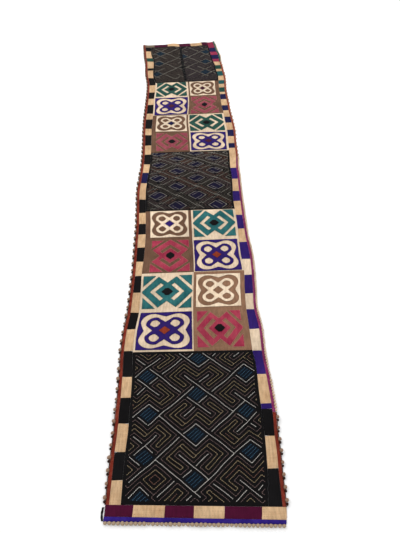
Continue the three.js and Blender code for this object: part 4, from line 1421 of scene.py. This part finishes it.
embroidery, diamonds = {}, {}
LEAD_PAINTS, BOX_PAINT, STITCH_RISE = (0, 7), 6, 0.75
thread_paint = [
    thread("thread_pale", (216, 212, 204), (236, 232, 224)),
    thread("thread_mauve", (128, 104, 102), (150, 126, 120)),
    thread("thread_gold", (176, 154, 118), (198, 178, 140)),
    thread("thread_red_brown", (138, 100, 86), (162, 122, 104)),
    thread("thread_umber", (88, 74, 68), (108, 92, 84)),
    thread("thread_plum", (86, 72, 80), (108, 92, 98)),
    thread("thread_blue_green", (62, 100, 128), (86, 130, 154)),
    thread("thread_grey", (184, 176, 162), (206, 198, 184)),
    thread("thread_dim", (104, 94, 84), (124, 114, 100)),
]
print("thread colours", len(thread_paint))

# %% [markdown]
# The chart of the near panel: a rising line keeps its b and runs along a, a falling line keeps
# its a and runs along b. The dark diamonds are five steps wide.

# %% Leading lines of the near panel
NEAR_RISING = (
    (-18, 20.5, 24.5), (-13, 20, 24.5), (-13, 26, 30), (-24, 5, 15), (-19, 1, 4.4), (-19, 6, 9.3),
    (-19, 11, 19), (-4, 16, 30), (1, 25, 28.5), (-9, -4, 14), (-9, 16, 20), (-4, 4.5, 9),
    (-4, 10.6, 14), (-14, -9, 1), (0, 0.5, 5), (5, 0, 4.5), (5, 6, 20), (5, 21, 24), (10, 10.4, 19),
    (-5, -13, -4.5), (0, -19, -1), (14, -10, 11), (19, 6, 10), (9, -9.2, -6), (9, -4.4, 0.6),
    (8, -17, -11), (14, -13, -11), (3, -22, -18), (-8, 30, 34), (23, -5, -1), (25, 1, 3),
)
NEAR_FALLING = (
    (25, -18, -5), (20, -23, -13), (10, -23, -10.3), (5, -23, -14), (10, -29, -25), (30, -4, 0),
    (25, -3, 1), (15, -14, 5), (10, -8, 1), (1, -14, -10), (-4, -13, -9.5), (5, 0, 14), (0, -9, 5),
    (20, 1, 9), (15, 6.3, 9.7), (15, 11, 13), (-9, -4.8, -2), (-9, -9.3, -6), (-14, -5.5, -1.6),
    (11, 14, 18), (6, 15, 19), (-5, 3.6, 14), (-10, 0, 16), (-18, 3, 6.3), (-5, 15.6, 22), (0, 20, 27),
)
NEAR_BOXES = ((20, -18), (5, -24), (25, -4), (10, -9), (-4, -14), (0, 0), (15, 5), (-14, -5), (6, 14),
              (-10, 9), (-23, 3))
BOX = 5


def charted(rising, falling, scale=1):
    """Leading lines (a, b, a2, b2): rising ones keep b, falling ones keep a."""
    lines = [(start, b, stop, b) for b, start, stop in rising]
    lines += [(a, start, a, stop) for a, start, stop in falling]
    return [tuple(value * scale for value in line) for line in lines]


def sew_box(name, lattice, boxes, span, paint, gaps):
    """The dark diamonds of a lattice: a thin patch of dyed cloth under slanting threads."""
    threads, made = [], []
    for a, b in boxes:
        if not lattice.inside(lattice.place([a + span / 2], [b + span / 2]))[0]:
            continue
        threads += [(a + 0.8, b + gap * span, a + span - 0.8, b + gap * span, BOX_PAINT) for gap in gaps]
        patch = new_grid("patch", 8, 8)
        grid = points_of(patch) * (span - 1.3) + span / 2
        keep = lattice.clamp(lattice.place(a + grid[:, 0], b + grid[:, 1]))
        place_points(patch, to_frame(keep[:, 0], keep[:, 1], panel_top(keep, 0.25)))
        write_uv(patch, (keep[:, 0] - MIDDLE_X) / 1000 + 1, (keep[:, 1] - MIDDLE_Y) / 1000 + 2)
        patch.data.materials.append(paint)
        if sum(p.normal.z for p in patch.data.polygons) < 0:
            patch.data.flip_normals()
        apply_modifier(patch, "SOLIDIFY", thickness=0.0005, offset=-1)
        made.append(patch)
    return join(name, made), threads


near_leads = charted(NEAR_RISING, NEAR_FALLING)
near_lattice = Lattice(-5 * 9.5, 380, 9.5, 7.6, 11, row_at["near_panel"], row_at["near_block_1"], 1.2)
near_steps = lattice_steps(near_leads, [(*box, BOX) for box in NEAR_BOXES], -48, 48)
threads = [(*line, 0) for line in near_leads]
threads += [(a, b, a + along, b + 1 - along, (1, 2, 3)[(level - 1) % 3]) for a, b, along, level in near_steps]
diamond_cloth = raffia("diamond_navy", (8, 16, 26), (14, 26, 38))
diamonds["diamonds_near"], lines = sew_box("diamonds_near", near_lattice, NEAR_BOXES, BOX, diamond_cloth,
                                         (0.24, 0.41, 0.58, 0.75))
embroidery["near"] = sew_lattice("embroidery_near", near_lattice, threads + lines, thread_paint,
                                 6.1, (2.2, 1.8), 11)
print("near stitches", stitch_count("near"))

# %% [markdown]
# ## The middle and the far panel
#
# The middle panel repeats one motif, an S of two hooks in a dark diamond, and every second row is
# its mirror image. One motif is charted and the rest are copies moved along the lattice. The far
# panel has the near panel's leading lines with rows of thread set twice as close.

# %% Hooks and leading lines of the middle panel
HOOK_SPAN = 7
HOOK = ((1.8, 1.8), (6.7, 1.8), (6.7, 6.7), (1.9, 6.7), (1.3, 6.1))
KNOT_LINES = (
    ((0.5, -1), (0.5, 14)), ((0.5, -1), (-0.5, -1)), ((0.5, 14), (1.5, 14)),
    ((2.5, 0.5), (10.5, 0.5)), ((1.5, -0.5), (3.5, -0.5)), ((9.5, 1.5), (11.5, 1.5)),
)
middle_lattice = Lattice(49 - HOOK_SPAN * 7.6, 1614, 7.6, 6.25, 9, row_at["middle_panel"],
                         row_at["far_block_1"], 0.9, 0.0174)
BOX_EDGES = ((0, 0, 7, 0), (7, 0, 7, 7), (0, 7, 7, 7), (0, 0, 0, 7))
COLUMN_STEP, ROW_STEP = 7, 6
middle_boxes, middle_leads, threads = [], [], []
for column in range(-4, 5):
    for row in range(-2, 8):
        a0, b0 = COLUMN_STEP * column + ROW_STEP * row, COLUMN_STEP * column - ROW_STEP * row
        if (column + row) % 2:
            for (p, q), (r, t) in KNOT_LINES:
                line = (a0 + 3.5 + p, b0 + 3.5 + q, a0 + 3.5 + r, b0 + 3.5 + t)
                threads.append((*line, 7))
                middle_leads.append(line)
        else:
            middle_boxes.append((a0, b0))
            middle_leads += [(a0 + p, b0 + q, a0 + r, b0 + t) for p, q, r, t in BOX_EDGES]
            for turned in (False, True):
                spots = [(HOOK_SPAN - a, HOOK_SPAN - b) if turned else (a, b) for a, b in HOOK]
                if column % 2:
                    spots = [(HOOK_SPAN - b, HOOK_SPAN - a) for a, b in spots]
                threads += [(a0 + p, b0 + q, a0 + r, b0 + t, 7) for (p, q), (r, t) in zip(spots, spots[1:])]
middle_steps = lattice_steps(middle_leads, [(*box, HOOK_SPAN) for box in middle_boxes], -72, 72)
threads += [(a, b, a + along, b + 1 - along, (8, 1, 3)[(level + a // 6) % 3])
            for a, b, along, level in middle_steps]
hook_cloth = raffia("diamond_violet_navy", (16, 13, 38), (26, 22, 50))
diamonds["diamonds_middle"] = sew_box("diamonds_middle", middle_lattice, middle_boxes, HOOK_SPAN,
                                      hook_cloth, ())[0]
embroidery["middle"] = sew_lattice("embroidery_middle", middle_lattice, threads, thread_paint, 6.8,
                                   (2.2, 1.9), 12)
print("middle stitches", stitch_count("middle"))

# %% [markdown]
# Each half of the far panel gets a lattice of its own, so that its lines end at the middle seam.

# %% Leading lines of the far panel
far_leads = charted(NEAR_RISING, NEAR_FALLING, 2)
far_boxes = [(2 * a, 2 * b) for a, b in NEAR_BOXES]
far_steps = lattice_steps(far_leads, [(*box, 2 * BOX) for box in far_boxes], -96, 96)
FAR_HALVES = (
    ("left", -190, 3065, ("seam_left", "far_seam"), (4, 8, 4)),
    ("right", 165, 3085, ("far_seam", "seam_right"), (5, 8, 5)),
)
for half, x, y, sides, paints in FAR_HALVES:
    lattice = Lattice(x - BOX * 2 * 4.75, y, 4.75, 4.1, 9, row_at["far_panel"], row_at["far_hem"], 0.9,
                      sides=sides)
    threads = [(*line, 7) for line in far_leads]
    threads += [(a, b, a + along, b + 1 - along, paints[level % 3]) for a, b, along, level in far_steps]
    name = "diamonds_far_" + half
    diamonds[name], lines = sew_box(name, lattice, far_boxes, 2 * BOX, diamond_cloth, (0.3, 0.5, 0.7))
    embroidery["far_" + half] = sew_lattice("embroidery_far_" + half, lattice, threads + lines, thread_paint,
                                            6.0, (1.9, 1.8), 13)
print("far stitches", stitch_count("far_left"), stitch_count("far_right"))

# %% [markdown]
# ## Sewing stitches
#
# Every motif is sewn down along its edges with small overcast stitches, and rows of running
# stitches go along the seams and over the undyed patches. They are the same spindles as the
# embroidery, set along the outlines that cut the motifs.

# %% Stitches along the edges of the motifs
TRIM_PAINT = [
    thread("trim_navy", (24, 18, 52), (40, 32, 70)),
    thread("trim_green", (28, 66, 64), (60, 98, 90)),
    thread("trim_rose", (176, 132, 112), (200, 160, 138)),
    thread("trim_umber", (128, 100, 78), (154, 126, 100)),
    thread("trim_black", (18, 16, 18), (34, 30, 30)),
]
TRIM_OF = {"blue": 0, "green": 1, "pink": 2, "beige": 3, "ink": 4, "heart": 4}
TRIM_PITCH, TRIM_LENGTH, TRIM_WIDTH, TRIM_RISE = 3.6, 3.2, 1.6, 0.6


def along_ring(ring, pitch):
    """Evenly spaced points round a closed ring, with the direction of the ring at each."""
    closed = np.concatenate([ring, ring[:1]])
    run = run_along(closed)
    count = max(6, int(run[-1] / pitch))
    at = (np.arange(count) + 0.5) / count * run[-1]
    spots = np.stack([np.interp(at, run, closed[:, k]) for k in (0, 1)], axis=1)
    ahead = np.stack([np.interp(np.minimum(at + 1, run[-1]), run, closed[:, k]) for k in (0, 1)], axis=1)
    behind = np.stack([np.interp(np.maximum(at - 1, 0), run, closed[:, k]) for k in (0, 1)], axis=1)
    way = ahead - behind
    return spots, way / np.linalg.norm(way, axis=1, keepdims=True)


def edge_stitches(name, chosen, seed):
    start, end, height, index = [], [], [], []
    for colour, outlines in chosen:
        over = APPLIQUE_BASE + APPLIQUE_THICKNESS + (1.2 if colour in ("ink", "heart") else 0)
        for ring in outlines:
            spots, way = along_ring(ring, TRIM_PITCH)
            start.append(spots - way * TRIM_LENGTH / 2)
            end.append(spots + way * TRIM_LENGTH / 2)
            height.append(over - 0.25 + ripple(spots[:, 0], spots[:, 1]))
            index += [TRIM_OF[colour]] * len(spots)
    return stitch_mesh(name, np.concatenate(start), np.concatenate(end), np.concatenate(height), TRIM_WIDTH,
                       TRIM_PAINT, index, seed, TRIM_RISE)


GROUPS_MEET = 1600
near_trims = [t for t in trims if t[1][0][:, 1].mean() < GROUPS_MEET]
far_trims = [t for t in trims if t[1][0][:, 1].mean() >= GROUPS_MEET]
embroidery["trim_near"] = edge_stitches("trim_stitches_near", near_trims, 21)
embroidery["trim_far"] = edge_stitches("trim_stitches_far", far_trims, 22)
print("edge stitches", stitch_count("trim_near") + stitch_count("trim_far"))

# %% [markdown]
# Running stitches go in rows over the undyed patches of the borders and along both seams of the
# panels. A row keeps its share of the way from one long line to another.

# %% Running stitches along the seams and over the patches
SEAM_PITCH, SEAM_STITCH, SEAM_WIDTH, SEAM_RISE = 8.5, 5.0, 1.0, 0.5
PATCH_ROWS, SEAM_ROWS = (0.12, 0.34, 0.6, 0.86), (0.008, 0.02)
PANEL_REACHES = (("near_panel", "near_block_1"), ("middle_panel", "far_block_1"), ("far_panel", "far_hem"))


def running_row(left, right, near, far, share, insets=(0, 0)):
    """Start and end of running stitches on one line along the strip."""
    v = np.linspace(near, far, max(8, int((far - near) * 60)))
    path = between(left, right, v, np.full(len(v), share), *insets)
    run = run_along(path)
    at = np.arange(SEAM_PITCH / 2, run[-1] - SEAM_PITCH / 2, SEAM_PITCH)
    return [np.stack([np.interp(at + half, run, path[:, k]) for k in (0, 1)], axis=1)
            for half in (-SEAM_STITCH / 2, SEAM_STITCH / 2)]


rows_of_stitches = []
for side, patches in BORDER_PATCHES.items():
    lines, insets = border_lines(side)
    for number, near, far, colour in patch_rows(side, patches):
        for share in PATCH_ROWS if colour == "beige" else ():
            ends = running_row(*lines, near + 0.03, far - 0.03, share + 0.02 * math.sin(number), insets)
            rows_of_stitches.append((*ends, TRIM_OF["beige"], BORDER_THICKNESS))
for line, other in (("seam_left", "seam_right"), ("seam_right", "seam_left")):
    for near, far in PANEL_REACHES:
        for share in SEAM_ROWS:
            ends = running_row(line, other, row_at[near] + 0.05, row_at[far] - 0.05, share)
            rows_of_stitches.append((*ends, TRIM_OF["ink"], PANEL_THICKNESS))
seam_start = np.concatenate([row[0] for row in rows_of_stitches])
seam_end = np.concatenate([row[1] for row in rows_of_stitches])
seam_paint = np.concatenate([np.full(len(row[0]), row[2]) for row in rows_of_stitches])
seam_top = np.concatenate([np.full(len(row[0]), row[3]) for row in rows_of_stitches])
x, y = ((seam_start + seam_end) / 2).T
seam_z = floor_side(row_of(x, y), x, y) + seam_top + ripple(x, y) - 0.2
embroidery["seams"] = stitch_mesh("seam_stitches", seam_start, seam_end, seam_z, SEAM_WIDTH, TRIM_PAINT,
                                  seam_paint, 23, SEAM_RISE)
print("running stitches", len(seam_start))

# %% [markdown]
# The hem's patches lie across the strip, so their two rows of stitches run across it too.

# %% Running stitches across the hem patches
HEM_PITCH, HEM_STITCH, HEM_ROWS, HEM_END = 9.0, 4.8, (0.3, 0.72), 6
start, end = [], []
begin = lane("edge_left", [row_at["near_hem"]])[0, 0]
for x_end, colour in NEAR_HEM:
    for share in HEM_ROWS if colour == "beige" else ():
        xs = np.arange(begin + HEM_END, x_end - HEM_END, HEM_PITCH)
        v = np.full(len(xs), row_at["near_hem"] + share)
        left, right = lane("edge_left", v), lane("edge_right", v)
        y = left[:, 1] + (xs - left[:, 0]) / (right[:, 0] - left[:, 0]) * (right[:, 1] - left[:, 1])
        start.append(np.stack([xs - HEM_STITCH / 2, y], axis=1))
        end.append(np.stack([xs + HEM_STITCH / 2, y], axis=1))
    begin = x_end
start, end = np.concatenate(start), np.concatenate(end)
top = BORDER_THICKNESS + ripple(start[:, 0], start[:, 1]) - 0.1
embroidery["hem"] = stitch_mesh("hem_stitches", start, end, top, SEAM_WIDTH, TRIM_PAINT,
                                np.full(len(start), TRIM_OF["beige"]), 24, SEAM_RISE)
print("hem stitches", len(start))

# %% [markdown]
# ## Which piece stands for which solid
#
# Every piece rides on the one body and stands for its solid in the frame, which is then not
# shown.


def stands_for(piece, node=None):
    """The piece rides on the body, and takes the place of a solid where it has one."""
    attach(piece, "root")
    if node:
        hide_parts(node)


for node, piece in panels.items():
    stands_for(piece, node)
for name, side, near, far, colour in GROUND_TABLE:
    stands_for(grounds[name], name)
for node, piece in borders.items():
    stands_for(piece, node)
for node, piece in hems.items():
    stands_for(piece, node)
for node, piece in bindings.items():
    stands_for(piece, node)
stands_for(tail, "tail_near_left")
bobble_nodes = [n for n in bobbles if n.startswith("bobbles")]
for name, piece in bobbles.items():
    stands_for(piece, name if name in bobble_nodes else None)
for block in blocks:
    for prefix in ("frame_", "loops_", "star_", "eye_"):
        node = prefix + block["name"]
        if node in motifs:
            stands_for(motifs[node][0], node)
for piece in (*(cut[0] for cut in small_patches.values()), *embroidery.values(), *diamonds.values()):
    stands_for(piece)
print("solids replaced", len(panels) + len(grounds) + len(borders) + len(hems) + len(bindings)
      + len(bobble_nodes) + 1 + len(motifs), "of", len(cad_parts))

# %% [markdown]
# Below, the larger extent on the floor of each binding and the span and area of each cut piece's
# outline are worked out, with the name of the bobble row on each binding; nothing further is done
# with them.


BOBBLES_ON = {"binding_left": "bobbles_left", "binding_right_red": "bobbles_right",
              "binding_near": "bobbles_near"}
for side in BORDER_PATCHES:
    node, (lines, insets) = "border_" + side, border_lines(side)
for node, binding in bindings.items():
    points = points_of(binding)
    length = float(max(np.ptp(points[:, 0]), np.ptp(points[:, 1])))
    start = BOBBLES_ON.get(node, node.replace("binding_right_", "picots_"))
for name, (piece, outlines, area) in {**motifs, **small_patches}.items():
    spots = outlines[0]
    width, length = float(np.ptp(spots[:, 0])) / 1000, float(np.ptp(spots[:, 1])) / 1000
    area = min(max(area, 0.3 * width * length), width * length)

# %% [markdown]
# ## Floor, light and camera
#
# The strip is shown as it was seen: from above its near end, in even light, on a pale floor.

# %% A plain pale floor
FLOOR_SIZE = 14
bpy.ops.object.select_all(action="DESELECT")
bpy.ops.mesh.primitive_plane_add(size=FLOOR_SIZE)
floor = bpy.context.active_object
floor.name = "floor"
bpy.ops.object.mode_set(mode="EDIT")
bpy.ops.mesh.select_all(action="SELECT")
bpy.ops.transform.translate(value=(0, 1, -0.0005))
bpy.ops.object.mode_set(mode="OBJECT")
floor_paint = bpy.data.materials.new("floor_pale")
floor_paint.use_nodes = True
shader = next(n for n in floor_paint.node_tree.nodes if n.type == "BSDF_PRINCIPLED")
shader.inputs["Base Color"].default_value = linear(246, 246, 245)
shader.inputs["Roughness"].default_value = 0.9
floor.data.materials.append(floor_paint)
print("floor", FLOOR_SIZE, "m")

# %% [markdown]
# A bright room lights everything evenly. Three large soft lamps add a little direction, so that
# folds and threads show.

# %% Even light from a bright room
world = bpy.data.worlds.new("room")
bpy.context.scene.world = world
world.use_nodes = True
world.node_tree.nodes["Background"].inputs[0].default_value = linear(250, 250, 252)
world.node_tree.nodes["Background"].inputs[1].default_value = 0.75
# Name, place in metres, side in metres and power in watts.
LIGHT_TABLE = (
    ("window_left", -2.2, 0.4, 2.6, 2.4, 62),
    ("window_far", 0.6, 3.2, 3.0, 2.4, 52),
    ("fill_right", 2.4, -1.2, 2.6, 2.2, 26),
)
for name, x, y, z, size, power in LIGHT_TABLE:
    bpy.ops.object.select_all(action="DESELECT")
    bpy.ops.object.light_add(type="AREA", location=(x, y, z))
    light = bpy.context.active_object
    light.name = name
    light.data.size = size
    light.data.energy = power
    light.rotation_euler = (math.atan2(math.hypot(x, y - 0.2), z), 0, math.atan2(y - 0.2, x) + math.pi / 2)
bpy.context.scene.view_settings.view_transform = "Standard"
print("lights", len(LIGHT_TABLE))

# %% [markdown]
# The camera stands beyond the near end, 1.5 m over the floor, and is tilted 37 degrees from
# straight down. Its lens was fitted so that the blocks come out square all along the strip.

# %% Camera
CAMERA_HEIGHT, CAMERA_TILT, CAMERA_TURN = 1.5, 37, -2.28
CAMERA_LENS, CAMERA_SENSOR = 27.02, 36
bpy.ops.object.select_all(action="DESELECT")
bpy.ops.object.camera_add(location=(-MIDDLE_X / 1000, -MIDDLE_Y / 1000, CAMERA_HEIGHT),
                          rotation=(math.radians(CAMERA_TILT), 0, math.radians(CAMERA_TURN)))
camera = bpy.context.active_object
camera.data.lens = CAMERA_LENS
camera.data.sensor_width = CAMERA_SENSOR
bpy.context.scene.camera = camera
print("camera", [round(v, 3) for v in camera.location])
